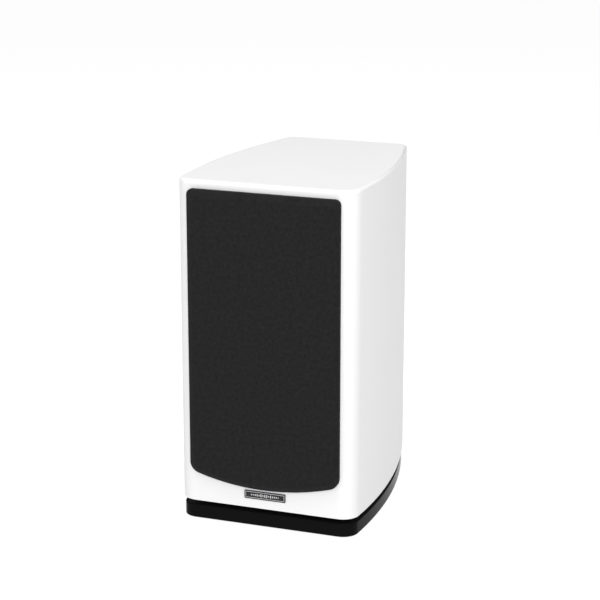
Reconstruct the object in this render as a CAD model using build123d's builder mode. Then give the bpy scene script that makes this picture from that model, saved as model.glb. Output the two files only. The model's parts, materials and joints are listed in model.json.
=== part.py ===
from build123d import *
import math
import os

os.makedirs("parts", exist_ok=True)

# Bookshelf loudspeaker. Millimetres, +Z up, front towards -Y, origin under the middle of the object.
# Depths named "depth" run back from the front face of the baffle.

# ---------------------------------------------------------------- driving dimensions
TOTAL_HEIGHT = 345.0
CABINET_DEPTH = 245.0
HALF_WIDTH = 93.8
WIDEST_DEPTH = 62.0
SIDE_RADIUS = 590.0
FRONT_CORNER_RADIUS = 17.0
REAR_CORNER_RADIUS = 9.0
TOP_EDGE_RADIUS = 3.6
BOTTOM_EDGE_RADIUS = 1.2
WALL = 15.0
BAFFLE_THICKNESS = 18.0

FOOT_PROUD = 1.0
PLINTH_TOP_Z = 14.4
PLINTH_GAP = 5.1
PLINTH_INSET = 1.2

GRILLE_THICKNESS = 8.0
GRILLE_GAP = 0.3
GRILLE_HALF_WIDTH = 77.5
GRILLE_TOP_Z = 337.0
GRILLE_BOTTOM_Z = 41.0
GRILLE_BOTTOM_ARC = 245.0
GRILLE_TOP_CORNER = 5.5
GRILLE_BOTTOM_CORNER = 12.0
LEAST_TOP_CORNER = 1.0
LEAST_BOTTOM_CORNER = 5.0
BEVEL_WIDTH = 5.8
BEVEL_DEPTH = 3.5
CLOTH = 0.7

WOOFER_Z = 148.0
TWEETER_Z = 277.5
TERMINAL_Z = 95.0
POST_SPACING = 19.0
POST_PROUD = 13.3

# ---------------------------------------------------------------- derived positions
FRONT_Y = (GRILLE_THICKNESS + GRILLE_GAP - CABINET_DEPTH - POST_PROUD) / 2
REAR_Y = FRONT_Y + CABINET_DEPTH
WIDEST_Y = FRONT_Y + WIDEST_DEPTH
CABINET_BOTTOM_Z = PLINTH_TOP_Z + PLINTH_GAP
CABINET_HEIGHT = TOTAL_HEIGHT - CABINET_BOTTOM_Z
INNER_FRONT_Y = FRONT_Y + BAFFLE_THICKNESS
INNER_REAR_Y = REAR_Y - WALL
INNER_BOTTOM_Z = CABINET_BOTTOM_Z + WALL
INNER_TOP_Z = TOTAL_HEIGHT - WALL
MIDDLE_Z = (CABINET_BOTTOM_Z + TOTAL_HEIGHT) / 2
BIG = 400.0
HOLE_PLAY = 0.1
TIGHT_PLAY = 0.05

WOOFER_PLANE = Plane((0, FRONT_Y, WOOFER_Z))
WOOFER_AXIS = Axis((0, FRONT_Y, WOOFER_Z), (0, 1, 0))
TWEETER_PLANE = Plane((0, FRONT_Y, TWEETER_Z))
TWEETER_AXIS = Axis((0, FRONT_Y, TWEETER_Z), (0, 1, 0))
INWARDS = (Align.CENTER, Align.CENTER, Align.MAX)
OUTWARDS = (Align.CENTER, Align.CENTER, Align.MIN)


# ---------------------------------------------------------------- shared outlines and planes
def depth_plane(depth, z=0.0):
    """Plane parallel to the baffle, facing forwards, at a depth behind its front face."""
    return Plane((0, FRONT_Y + depth, z), x_dir=(1, 0, 0), z_dir=(0, -1, 0))


def rear_plane(proud, z=0.0):
    """Plane parallel to the rear panel, facing backwards, standing proud of its outer face."""
    return Plane((0, REAR_Y + proud, z), x_dir=(-1, 0, 0), z_dir=(0, 1, 0))


def side_x(y, inset):
    """Half-width of the bowed side at y, drawn in by inset."""
    radius = SIDE_RADIUS - inset
    return HALF_WIDTH - inset - radius + math.sqrt(radius**2 - (y - WIDEST_Y) ** 2)


def cabinet_plan(inset, front_radius=0.0, rear_radius=0.0):
    """Plan of the cabinet: flat front, bowed sides that taper to a narrower flat rear."""
    front = FRONT_Y + inset
    rear = REAR_Y - inset
    front_x = side_x(front, inset)
    rear_x = side_x(rear, inset)
    widest_x = HALF_WIDTH - inset
    with BuildSketch() as plan:
        with BuildLine():
            Line((-front_x, front), (front_x, front))
            ThreePointArc((front_x, front), (widest_x, WIDEST_Y), (rear_x, rear))
            Line((rear_x, rear), (-rear_x, rear))
            ThreePointArc((-rear_x, rear), (-widest_x, WIDEST_Y), (-front_x, front))
        make_face()
        if front_radius:
            fillet(plan.vertices().group_by(Axis.Y)[0], front_radius)
            fillet(plan.vertices().group_by(Axis.Y)[-1], rear_radius)
    return plan.sketch


def grille_outline(inset):
    """Front view of the grille: square top, upright sides, bowed lower edge."""
    half_width = GRILLE_HALF_WIDTH - inset
    top = GRILLE_TOP_Z - inset
    bottom = GRILLE_BOTTOM_Z + inset
    arc_radius = GRILLE_BOTTOM_ARC - inset
    side_bottom = bottom + arc_radius - math.sqrt(arc_radius**2 - half_width**2)
    with BuildSketch() as outline:
        with BuildLine():
            Line((-half_width, top), (half_width, top))
            Line((half_width, top), (half_width, side_bottom))
            ThreePointArc((half_width, side_bottom), (0, bottom), (-half_width, side_bottom))
            Line((-half_width, side_bottom), (-half_width, top))
        make_face()
        top_corner = max(GRILLE_TOP_CORNER - inset, LEAST_TOP_CORNER)
        bottom_corner = max(GRILLE_BOTTOM_CORNER - inset, LEAST_BOTTOM_CORNER)
        fillet(outline.vertices().group_by(Axis.Y)[-1], top_corner)
        fillet(outline.vertices().group_by(Axis.Y)[0], bottom_corner)
    return outline.sketch


def bevelled_block(inset, back_depth, edge_depth, front_depth, front_inset):
    """Grille-shaped slab: upright sides, then a flat bevel up to a smaller front face."""
    with BuildPart() as block:
        with BuildSketch(depth_plane(back_depth)):
            add(grille_outline(inset))
        extrude(amount=back_depth - edge_depth)
        with BuildSketch(depth_plane(edge_depth)) as edge:
            add(grille_outline(inset))
        with BuildSketch(depth_plane(front_depth)) as front:
            add(grille_outline(front_inset))
        loft(sections=[edge.sketch, front.sketch], ruled=True)
    return block.part


def ring_profile(inner, outer, start, end):
    """Rectangle in a driver's radius and depth plane, from inner to outer radius."""
    with Locations(((inner + outer) / 2, (start + end) / 2)):
        Rectangle(outer - inner, end - start)


# ---------------------------------------------------------------- cabinet boards
with BuildPart() as cabinet_block:
    with BuildSketch(Plane.XY.offset(CABINET_BOTTOM_Z)):
        add(cabinet_plan(0, FRONT_CORNER_RADIUS, REAR_CORNER_RADIUS))
    extrude(amount=CABINET_HEIGHT)
    fillet(cabinet_block.faces().sort_by(Axis.Z)[-1].edges(), TOP_EDGE_RADIUS)
    fillet(cabinet_block.faces().sort_by(Axis.Z)[0].edges(), BOTTOM_EDGE_RADIUS)

WOOFER_REBATE_RADIUS = 69.8
WOOFER_REBATE_DEPTH = 4.5
WOOFER_CUTOUT_RADIUS = 61.5
TWEETER_REBATE_RADIUS = 49.3
TWEETER_REBATE_DEPTH = 4.8
TWEETER_CUTOUT_RADIUS = 38.5
WOOFER_SCREW_CIRCLE = 65.0
WOOFER_SCREW_COUNT = 6
TWEETER_SCREW_CIRCLE = 43.0
TWEETER_SCREW_COUNT = 4
DRIVER_SCREW_START = 45.0
DRIVER_SCREW_RADIUS = 1.9
DRIVER_SCREW_DEPTH = 16.5
DRIVER_HEAD_RADIUS = 3.4
DRIVER_HEAD_DEPTH = 1.5
DRIVER_RECESS = (3.6, 0.7, 0.8)
COUNTERSINK_RADIUS = 3.6
COUNTERSINK_DEPTH = 1.6
PEG_RADIUS = 3.0
PEG_DEPTH = 9.5
PEG_SEAT_DEPTH = 4.0
PEG_TIP_FILLET = 1.0
SOCKET_RADIUS = 6.0
SOCKET_DEPTH = 12.0
SOCKET_END_PLAY = 1.0
PEG_POSITIONS = [(-64, 76), (64, 76), (-64, 322), (64, 322)]


def driver_screw_holes(depth, radius):
    """Screw holes of both drivers, bored from the front face of the baffle to a depth."""
    for z, circle, count in (
        (WOOFER_Z, WOOFER_SCREW_CIRCLE, WOOFER_SCREW_COUNT),
        (TWEETER_Z, TWEETER_SCREW_CIRCLE, TWEETER_SCREW_COUNT),
    ):
        with Locations(depth_plane(0, z)):
            with PolarLocations(circle, count, start_angle=DRIVER_SCREW_START):
                Cylinder(radius, depth, align=INWARDS, mode=Mode.SUBTRACT)


with BuildPart() as front_baffle:
    add(cabinet_block.part)
    with Locations((0, FRONT_Y + BAFFLE_THICKNESS / 2, MIDDLE_Z)):
        Box(BIG, BAFFLE_THICKNESS, BIG, mode=Mode.INTERSECT)
    with BuildSketch(depth_plane(0)):
        with Locations((0, WOOFER_Z)):
            Circle(WOOFER_REBATE_RADIUS)
    extrude(amount=-WOOFER_REBATE_DEPTH, mode=Mode.SUBTRACT)
    with BuildSketch(depth_plane(0)):
        with Locations((0, TWEETER_Z)):
            Circle(TWEETER_REBATE_RADIUS)
    extrude(amount=-TWEETER_REBATE_DEPTH, mode=Mode.SUBTRACT)
    with BuildSketch(depth_plane(0)):
        with Locations((0, WOOFER_Z)):
            Circle(WOOFER_CUTOUT_RADIUS)
        with Locations((0, TWEETER_Z)):
            Circle(TWEETER_CUTOUT_RADIUS)
    extrude(amount=-BAFFLE_THICKNESS, mode=Mode.SUBTRACT)
    with BuildSketch(depth_plane(0)):
        with Locations(*PEG_POSITIONS):
            Circle(SOCKET_RADIUS)
    extrude(amount=-SOCKET_DEPTH, mode=Mode.SUBTRACT)
    driver_screw_holes(DRIVER_SCREW_DEPTH + HOLE_PLAY, DRIVER_SCREW_RADIUS + TIGHT_PLAY)
front_baffle.part.label = "front_baffle"
export_step(front_baffle.part, "parts/front_baffle.step")

BOX_DEPTH = INNER_REAR_Y - INNER_FRONT_Y
BOX_MIDDLE_Y = (INNER_REAR_Y + INNER_FRONT_Y) / 2

with BuildPart() as top_panel:
    add(cabinet_block.part)
    with Locations((0, BOX_MIDDLE_Y, INNER_TOP_Z + WALL / 2)):
        Box(BIG, BOX_DEPTH, WALL, mode=Mode.INTERSECT)
top_panel.part.label = "top_panel"
export_step(top_panel.part, "parts/top_panel.step")

PORT_Y = 30.0
PORT_BORE = 22.5
PORT_OUTER = 25.5
PORT_FLANGE_RADIUS = 31.0
PORT_FLANGE = 3.0
PORT_FLARE = 6.0
PORT_TOP_Z = 140.0

SPACER_RADIUS = 9.0
SPACER_POSITIONS = [(-66, -76), (66, -76), (-54, 72), (54, 72)]
FOOT_RADIUS = 11.0
FOOT_RECESS = 1.5
FOOT_POSITIONS = [(-72, -102), (72, -102), (-52, 98), (52, 98)]
BASE_SCREW_RADIUS = 2.5
BASE_SCREW_TOP_Z = 31.0
BASE_SCREW_HEAD_RADIUS = 4.6
BASE_SCREW_HEAD_Z = 2.5
BASE_SCREW_SEAT_Z = 6.0
BASE_SCREW_HEAD_PLAY = 0.4
BASE_SCREW_HEX = 2.0

with BuildPart() as bottom_panel:
    add(cabinet_block.part)
    with Locations((0, BOX_MIDDLE_Y, CABINET_BOTTOM_Z + WALL / 2)):
        Box(BIG, BOX_DEPTH, WALL, mode=Mode.INTERSECT)
    with BuildSketch(Plane.XY.offset(CABINET_BOTTOM_Z)):
        with Locations((0, PORT_Y)):
            Circle(PORT_OUTER)
    extrude(amount=WALL, mode=Mode.SUBTRACT)
    with BuildSketch(Plane.XY.offset(CABINET_BOTTOM_Z)):
        with Locations((0, PORT_Y)):
            Circle(PORT_FLANGE_RADIUS)
    extrude(amount=PORT_FLANGE, mode=Mode.SUBTRACT)
    with BuildSketch(Plane.XY.offset(CABINET_BOTTOM_Z)):
        with Locations(*SPACER_POSITIONS):
            Circle(BASE_SCREW_RADIUS + TIGHT_PLAY)
    extrude(amount=BASE_SCREW_TOP_Z + HOLE_PLAY - CABINET_BOTTOM_Z, mode=Mode.SUBTRACT)
bottom_panel.part.label = "bottom_panel"
export_step(bottom_panel.part, "parts/bottom_panel.step")

for side, panel_name in ((-1, "left_side_panel"), (1, "right_side_panel")):
    with BuildPart() as side_panel:
        add(cabinet_block.part)
        with Locations((side * BIG / 2, BOX_MIDDLE_Y, (INNER_BOTTOM_Z + INNER_TOP_Z) / 2)):
            Box(BIG, BOX_DEPTH, INNER_TOP_Z - INNER_BOTTOM_Z, mode=Mode.INTERSECT)
        with BuildSketch(Plane.XY.offset(CABINET_BOTTOM_Z)):
            add(cabinet_plan(WALL))
        extrude(amount=CABINET_HEIGHT, mode=Mode.SUBTRACT)
    side_panel.part.label = panel_name
    export_step(side_panel.part, f"parts/{panel_name}.step")

PLATE_WIDTH = 84.0
PLATE_HEIGHT = 64.0
PLATE_CORNER = 8.0
PLATE_THICKNESS = 3.0
PLATE_PROUD = 0.5
PLATE_PLAY = 0.2
PLATE_CUTOUT_WIDTH = 66.0
PLATE_CUTOUT_HEIGHT = 46.0
PLATE_SCREW_SPACING_X = 72.0
PLATE_SCREW_SPACING_Z = 52.0
PLATE_SCREW_RADIUS = 1.5
PLATE_SCREW_LENGTH = 12.0

with BuildPart() as rear_panel:
    add(cabinet_block.part)
    with Locations((0, REAR_Y - WALL / 2, MIDDLE_Z)):
        Box(BIG, WALL, BIG, mode=Mode.INTERSECT)
    with BuildSketch(rear_plane(0, TERMINAL_Z)):
        RectangleRounded(PLATE_WIDTH + PLATE_PLAY, PLATE_HEIGHT + PLATE_PLAY, PLATE_CORNER)
    extrude(amount=PLATE_PROUD - PLATE_THICKNESS, mode=Mode.SUBTRACT)
    with BuildSketch(rear_plane(0, TERMINAL_Z)):
        RectangleRounded(PLATE_CUTOUT_WIDTH, PLATE_CUTOUT_HEIGHT, PLATE_CORNER)
    extrude(amount=-WALL, mode=Mode.SUBTRACT)
    with BuildSketch(rear_plane(0, TERMINAL_Z)):
        with GridLocations(PLATE_SCREW_SPACING_X, PLATE_SCREW_SPACING_Z, 2, 2):
            Circle(PLATE_SCREW_RADIUS + TIGHT_PLAY)
    extrude(amount=PLATE_PROUD - PLATE_SCREW_LENGTH - HOLE_PLAY, mode=Mode.SUBTRACT)
rear_panel.part.label = "rear_panel"
export_step(rear_panel.part, "parts/rear_panel.step")

BRACE_Z = 214.0
BRACE_THICKNESS = 12.0
BRACE_REAR_Y = 62.0
BRACE_HOLE_RADIUS = 15.0
BRACE_HOLE_PITCH = 44.0

with BuildPart() as shelf_brace:
    with BuildSketch(Plane.XY.offset(BRACE_Z)):
        add(cabinet_plan(WALL))
        with Locations((0, (INNER_FRONT_Y + BRACE_REAR_Y) / 2)):
            Rectangle(BIG, BRACE_REAR_Y - INNER_FRONT_Y, mode=Mode.INTERSECT)
        with Locations((0, (INNER_FRONT_Y + BRACE_REAR_Y) / 2)):
            with GridLocations(BRACE_HOLE_PITCH, BRACE_HOLE_PITCH, 3, 3):
                Circle(BRACE_HOLE_RADIUS, mode=Mode.SUBTRACT)
    extrude(amount=BRACE_THICKNESS)
shelf_brace.part.label = "shelf_brace"
export_step(shelf_brace.part, "parts/shelf_brace.step")

WADDING_SIZE = (100.0, 126.0, 54.0)
WADDING_CENTRE = (0, -5, 295)
WADDING_CORNER = 10.0

with BuildPart() as damping_wadding:
    with Locations(WADDING_CENTRE):
        Box(*WADDING_SIZE)
    fillet(damping_wadding.edges(), WADDING_CORNER)
damping_wadding.part.label = "damping_wadding"
export_step(damping_wadding.part, "parts/damping_wadding.step")

FLARE_MIDDLE = PORT_FLARE * math.sqrt(0.5)

with BuildPart() as port_tube:
    with BuildSketch(Plane((0, PORT_Y, 0), x_dir=(1, 0, 0), z_dir=(0, -1, 0))):
        with BuildLine():
            Polyline(
                (PORT_BORE, CABINET_BOTTOM_Z + PORT_FLARE),
                (PORT_BORE, PORT_TOP_Z),
                (PORT_OUTER, PORT_TOP_Z),
                (PORT_OUTER, CABINET_BOTTOM_Z + PORT_FLANGE),
                (PORT_FLANGE_RADIUS, CABINET_BOTTOM_Z + PORT_FLANGE),
                (PORT_FLANGE_RADIUS, CABINET_BOTTOM_Z),
                (PORT_BORE + PORT_FLARE, CABINET_BOTTOM_Z),
            )
            ThreePointArc(
                (PORT_BORE + PORT_FLARE, CABINET_BOTTOM_Z),
                (PORT_BORE + PORT_FLARE - FLARE_MIDDLE, CABINET_BOTTOM_Z + PORT_FLARE - FLARE_MIDDLE),
                (PORT_BORE, CABINET_BOTTOM_Z + PORT_FLARE),
            )
        make_face()
    revolve(axis=Axis((0, PORT_Y, 0), (0, 0, 1)))
port_tube.part.label = "port_tube"
export_step(port_tube.part, "parts/port_tube.step")

# ---------------------------------------------------------------- plinth
PLINTH_TOP_EDGE = 1.2
PLINTH_BOTTOM_EDGE = 0.6
FOOT_EDGE = 0.5

with BuildPart() as plinth:
    with BuildSketch(Plane.XY.offset(FOOT_PROUD)):
        add(
            cabinet_plan(
                PLINTH_INSET,
                FRONT_CORNER_RADIUS - PLINTH_INSET,
                REAR_CORNER_RADIUS - PLINTH_INSET,
            )
        )
    extrude(amount=PLINTH_TOP_Z - FOOT_PROUD)
    fillet(plinth.faces().sort_by(Axis.Z)[-1].edges(), PLINTH_TOP_EDGE)
    fillet(plinth.faces().sort_by(Axis.Z)[0].edges(), PLINTH_BOTTOM_EDGE)
    with BuildSketch(Plane.XY.offset(FOOT_PROUD)):
        with Locations(*FOOT_POSITIONS):
            Circle(FOOT_RADIUS + HOLE_PLAY)
    extrude(amount=FOOT_RECESS, mode=Mode.SUBTRACT)
    with BuildSketch(Plane.XY.offset(FOOT_PROUD)):
        with Locations(*SPACER_POSITIONS):
            Circle(BASE_SCREW_HEAD_RADIUS + BASE_SCREW_HEAD_PLAY)
    extrude(amount=BASE_SCREW_SEAT_Z - FOOT_PROUD, mode=Mode.SUBTRACT)
    with BuildSketch(Plane.XY):
        with Locations(*SPACER_POSITIONS):
            Circle(BASE_SCREW_RADIUS + HOLE_PLAY)
    extrude(amount=PLINTH_TOP_Z, mode=Mode.SUBTRACT)
plinth.part.label = "plinth"
export_step(plinth.part, "parts/plinth.step")

with BuildPart() as plinth_spacers:
    with BuildSketch(Plane.XY.offset(PLINTH_TOP_Z)):
        with Locations(*SPACER_POSITIONS):
            Circle(SPACER_RADIUS)
            Circle(BASE_SCREW_RADIUS + HOLE_PLAY, mode=Mode.SUBTRACT)
    extrude(amount=PLINTH_GAP)
plinth_spacers.part.label = "plinth_spacers"
export_step(plinth_spacers.part, "parts/plinth_spacers.step")

with BuildPart() as plinth_screws:
    with BuildSketch(Plane.XY.offset(BASE_SCREW_HEAD_Z)):
        with Locations(*SPACER_POSITIONS):
            Circle(BASE_SCREW_HEAD_RADIUS)
    extrude(amount=BASE_SCREW_SEAT_Z - BASE_SCREW_HEAD_Z)
    with BuildSketch(Plane.XY.offset(BASE_SCREW_SEAT_Z)):
        with Locations(*SPACER_POSITIONS):
            Circle(BASE_SCREW_RADIUS)
    extrude(amount=BASE_SCREW_TOP_Z - BASE_SCREW_SEAT_Z)
    with BuildSketch(Plane.XY.offset(BASE_SCREW_HEAD_Z)):
        with Locations(*SPACER_POSITIONS):
            RegularPolygon(BASE_SCREW_HEX, 6)
    extrude(amount=BASE_SCREW_HEX, mode=Mode.SUBTRACT)
plinth_screws.part.label = "plinth_screws"
export_step(plinth_screws.part, "parts/plinth_screws.step")

with BuildPart() as rubber_feet:
    with BuildSketch(Plane.XY):
        with Locations(*FOOT_POSITIONS):
            Circle(FOOT_RADIUS)
    extrude(amount=FOOT_PROUD + FOOT_RECESS)
    fillet(rubber_feet.edges().group_by(Axis.Z)[0], FOOT_EDGE)
rubber_feet.part.label = "rubber_feet"
export_step(rubber_feet.part, "parts/rubber_feet.step")

# ---------------------------------------------------------------- grille
GRILLE_BACK = -GRILLE_GAP
GRILLE_FRONT = GRILLE_BACK - GRILLE_THICKNESS
GRILLE_EDGE = GRILLE_FRONT + BEVEL_DEPTH
BEVEL_LENGTH = math.hypot(BEVEL_WIDTH, BEVEL_DEPTH)
FRAME_FRONT = GRILLE_FRONT + CLOTH
FRAME_EDGE = GRILLE_EDGE + CLOTH * (BEVEL_LENGTH - BEVEL_DEPTH) / BEVEL_WIDTH
FRAME_FRONT_INSET = CLOTH + (FRAME_EDGE - FRAME_FRONT) * BEVEL_WIDTH / BEVEL_DEPTH
WOOFER_WINDOW_RADIUS = 69.5
TWEETER_WINDOW_RADIUS = 50.5

frame_block = bevelled_block(CLOTH, GRILLE_BACK, FRAME_EDGE, FRAME_FRONT, FRAME_FRONT_INSET)
cloth_block = bevelled_block(0, GRILLE_BACK, GRILLE_EDGE, GRILLE_FRONT, BEVEL_WIDTH)

with BuildPart() as grille_frame:
    add(frame_block)
    with BuildSketch(depth_plane(0)):
        with Locations((0, WOOFER_Z)):
            Circle(WOOFER_WINDOW_RADIUS)
        with Locations((0, TWEETER_Z)):
            Circle(TWEETER_WINDOW_RADIUS)
    extrude(amount=2 * GRILLE_THICKNESS, mode=Mode.SUBTRACT)
    with BuildSketch(depth_plane(0)):
        with Locations(*PEG_POSITIONS):
            Circle(PEG_RADIUS + TIGHT_PLAY)
    extrude(amount=GRILLE_GAP + PEG_SEAT_DEPTH + HOLE_PLAY, mode=Mode.SUBTRACT)
grille_frame.part.label = "grille_frame"
export_step(grille_frame.part, "parts/grille_frame.step")

with BuildPart() as grille_cloth:
    add(cloth_block)
    add(frame_block, mode=Mode.SUBTRACT)
grille_cloth.part.label = "grille_cloth"
export_step(grille_cloth.part, "parts/grille_cloth.step")

with BuildPart() as grille_pegs:
    with BuildSketch(depth_plane(PEG_DEPTH)):
        with Locations(*PEG_POSITIONS):
            Circle(PEG_RADIUS)
    extrude(amount=PEG_DEPTH + GRILLE_GAP + PEG_SEAT_DEPTH)
    fillet(grille_pegs.edges().group_by(Axis.Y)[-1], PEG_TIP_FILLET)
grille_pegs.part.label = "grille_pegs"
export_step(grille_pegs.part, "parts/grille_pegs.step")

with BuildPart() as grille_sockets:
    with BuildSketch(depth_plane(0)):
        with Locations(*PEG_POSITIONS):
            Circle(SOCKET_RADIUS)
    extrude(amount=-SOCKET_DEPTH)
    with BuildSketch(depth_plane(0)):
        with Locations(*PEG_POSITIONS):
            Circle(PEG_RADIUS + TIGHT_PLAY)
    extrude(amount=-(PEG_DEPTH + SOCKET_END_PLAY), mode=Mode.SUBTRACT)
grille_sockets.part.label = "grille_sockets"
export_step(grille_sockets.part, "parts/grille_sockets.step")

# ---------------------------------------------------------------- badge
BADGE_WIDTH = 42.8
BADGE_HEIGHT = 8.5
BADGE_Z = 33.75
BADGE_THICKNESS = 1.0
BADGE_CORNER = 0.8
BADGE_RIM = 0.7
BADGE_RELIEF = 0.3
MARK_INSET = 1.1
MARK_LINE = 0.35
MARK_CORNER = 0.5
MARK_BELOW_RIM = 0.05
BAR_PITCH = 2.0
BAR_WIDTH = 0.9
BAR_COUNT = 15
BAR_LEAST_HEIGHT = 1.0
BAR_SWELL = 2.6
BAR_SPREAD = 11.0
BAR_RHYTHM = 1.9

with BuildPart() as badge_plate:
    with BuildSketch(depth_plane(0, BADGE_Z)):
        RectangleRounded(BADGE_WIDTH, BADGE_HEIGHT, BADGE_CORNER)
    extrude(amount=BADGE_THICKNESS)
    with BuildSketch(depth_plane(-BADGE_THICKNESS, BADGE_Z)):
        RectangleRounded(BADGE_WIDTH - 2 * BADGE_RIM, BADGE_HEIGHT - 2 * BADGE_RIM, MARK_CORNER)
    extrude(amount=-BADGE_RELIEF, mode=Mode.SUBTRACT)
badge_plate.part.label = "badge_plate"
export_step(badge_plate.part, "parts/badge_plate.step")

# A thin frame line and a row of upright bars whose heights swell towards the middle.
with BuildPart() as badge_mark:
    with BuildSketch(depth_plane(BADGE_RELIEF - BADGE_THICKNESS, BADGE_Z)):
        Rectangle(BADGE_WIDTH - 2 * MARK_INSET, BADGE_HEIGHT - 2 * MARK_INSET)
        Rectangle(
            BADGE_WIDTH - 2 * (MARK_INSET + MARK_LINE),
            BADGE_HEIGHT - 2 * (MARK_INSET + MARK_LINE),
            mode=Mode.SUBTRACT,
        )
        for bar in range(BAR_COUNT):
            bar_x = (bar - (BAR_COUNT - 1) / 2) * BAR_PITCH
            swell = math.cos(bar_x / BAR_SPREAD) ** 2 * abs(math.cos(bar * BAR_RHYTHM))
            bar_height = BAR_LEAST_HEIGHT + BAR_SWELL * swell
            with Locations((bar_x, 0)):
                Rectangle(BAR_WIDTH, bar_height)
    extrude(amount=BADGE_RELIEF - MARK_BELOW_RIM)
badge_mark.part.label = "badge_mark"
export_step(badge_mark.part, "parts/badge_mark.step")

# ---------------------------------------------------------------- driver rings
# Each is an inner radius, an outer radius, a start depth and an end depth.
WOOFER_GASKET = (61.8, 69.4, 3.75, 4.45)
WOOFER_FORMER = (12.5, 12.9, 22.0, 50.0)
WOOFER_WINDING = (12.95, 13.75, 39.0, 50.0)
WOOFER_FRONT_PLATE = (14.4, 38.5, 42.0, 48.0)
WOOFER_MAGNET = (18.0, 42.5, 48.0, 64.0)
TWEETER_GASKET = (38.8, 48.9, 4.05, 4.75)
TWEETER_FRONT_PLATE = (13.4, 36.0, 9.5, 13.5)
TWEETER_MAGNET = (15.5, 36.0, 13.5, 23.5)
PLATE_CHAMFER = 0.6
MAGNET_CHAMFER = 1.0


def countersunk_holes(circle, count):
    """Through holes with a countersink for a driver's screws."""
    with PolarLocations(circle, count, start_angle=DRIVER_SCREW_START):
        Cylinder(DRIVER_SCREW_RADIUS + HOLE_PLAY, 2 * BAFFLE_THICKNESS, mode=Mode.SUBTRACT)
        Cone(
            DRIVER_SCREW_RADIUS + HOLE_PLAY,
            COUNTERSINK_RADIUS,
            COUNTERSINK_DEPTH,
            align=INWARDS,
            mode=Mode.SUBTRACT,
        )


def outer_edges(ring):
    """The two circles round the outside of a ring."""
    return ring.edges().filter_by(GeomType.CIRCLE).group_by(SortBy.RADIUS)[-1]


# ---------------------------------------------------------------- woofer, radius and depth profiles
BASKET_WINDOW_COUNT = 8
BASKET_WINDOW_RADIUS = 50.0
BASKET_WINDOW_SIZE = (24.0, 23.0)
BASKET_WINDOW_START = 9.5
BASKET_WINDOW_DEPTH = 18.0

with BuildPart() as woofer_basket:
    with BuildSketch(WOOFER_PLANE):
        with BuildLine():
            Polyline(
                (60.5, 0),
                (69.5, 0),
                (69.5, 3.7),
                (61.0, 3.7),
                (60.0, 8.0),
                (44.5, 30.0),
                (44.5, 42.0),
                (20.0, 42.0),
                (20.0, 38.5),
                (40.5, 38.5),
                (40.5, 33.0),
                (36.5, 33.0),
                (36.5, 31.2),
                (42.0, 31.2),
                (42.0, 29.0),
                (56.5, 8.0),
                (56.5, 5.0),
                (52.5, 5.0),
                (52.5, 2.6),
                (60.5, 2.6),
                close=True,
            )
        make_face()
    revolve(axis=WOOFER_AXIS)
    with BuildSketch(depth_plane(BASKET_WINDOW_START, WOOFER_Z)):
        with PolarLocations(BASKET_WINDOW_RADIUS, BASKET_WINDOW_COUNT, start_angle=22.5):
            Rectangle(*BASKET_WINDOW_SIZE)
    extrude(amount=-BASKET_WINDOW_DEPTH, mode=Mode.SUBTRACT)
    with Locations(depth_plane(0, WOOFER_Z)):
        countersunk_holes(WOOFER_SCREW_CIRCLE, WOOFER_SCREW_COUNT)
woofer_basket.part.label = "woofer_basket"
export_step(woofer_basket.part, "parts/woofer_basket.step")

with BuildPart() as woofer_gasket:
    with BuildSketch(WOOFER_PLANE):
        ring_profile(*WOOFER_GASKET)
    revolve(axis=WOOFER_AXIS)
    driver_screw_holes(DRIVER_SCREW_DEPTH, DRIVER_SCREW_RADIUS + HOLE_PLAY)
woofer_gasket.part.label = "woofer_gasket"
export_step(woofer_gasket.part, "parts/woofer_gasket.step")

with BuildPart() as woofer_trim_ring:
    with BuildSketch(WOOFER_PLANE):
        with BuildLine():
            Polyline(
                (53.9, 0.6),
                (53.9, 1.5),
                (57.9, 1.5),
                (57.9, 2.6),
                (60.4, 2.6),
                (60.4, -0.6),
                (60.0, -1.0),
                (56.6, -1.0),
            )
            ThreePointArc((56.6, -1.0), (54.8, -0.5), (53.9, 0.6))
        make_face()
    revolve(axis=WOOFER_AXIS)
woofer_trim_ring.part.label = "woofer_trim_ring"
export_step(woofer_trim_ring.part, "parts/woofer_trim_ring.step")

ROLL_CENTRE = 49.8
ROLL_BASE = 2.0
ROLL_OUTER = 3.6
ROLL_INNER = 2.9
LIP_FRONT = 1.65
LIP_BACK = 2.45
LIP_OUTER_RADIUS = 57.5
LIP_INNER_RADIUS = 44.4
ROLL_OUTER_REACH = math.sqrt(ROLL_OUTER**2 - (LIP_FRONT - ROLL_BASE) ** 2)
ROLL_INNER_REACH = math.sqrt(ROLL_INNER**2 - (LIP_BACK - ROLL_BASE) ** 2)

with BuildPart() as woofer_surround:
    with BuildSketch(WOOFER_PLANE):
        with BuildLine():
            Line((LIP_OUTER_RADIUS, LIP_FRONT), (ROLL_CENTRE + ROLL_OUTER_REACH, LIP_FRONT))
            ThreePointArc(
                (ROLL_CENTRE + ROLL_OUTER_REACH, LIP_FRONT),
                (ROLL_CENTRE, ROLL_BASE - ROLL_OUTER),
                (ROLL_CENTRE - ROLL_OUTER_REACH, LIP_FRONT),
            )
            Polyline(
                (ROLL_CENTRE - ROLL_OUTER_REACH, LIP_FRONT),
                (LIP_INNER_RADIUS, LIP_FRONT),
                (LIP_INNER_RADIUS, LIP_BACK),
                (ROLL_CENTRE - ROLL_INNER_REACH, LIP_BACK),
            )
            ThreePointArc(
                (ROLL_CENTRE - ROLL_INNER_REACH, LIP_BACK),
                (ROLL_CENTRE, ROLL_BASE - ROLL_INNER),
                (ROLL_CENTRE + ROLL_INNER_REACH, LIP_BACK),
            )
            Polyline(
                (ROLL_CENTRE + ROLL_INNER_REACH, LIP_BACK),
                (LIP_OUTER_RADIUS, LIP_BACK),
                (LIP_OUTER_RADIUS, LIP_FRONT),
            )
        make_face()
    revolve(axis=WOOFER_AXIS)
woofer_surround.part.label = "woofer_surround"
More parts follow.
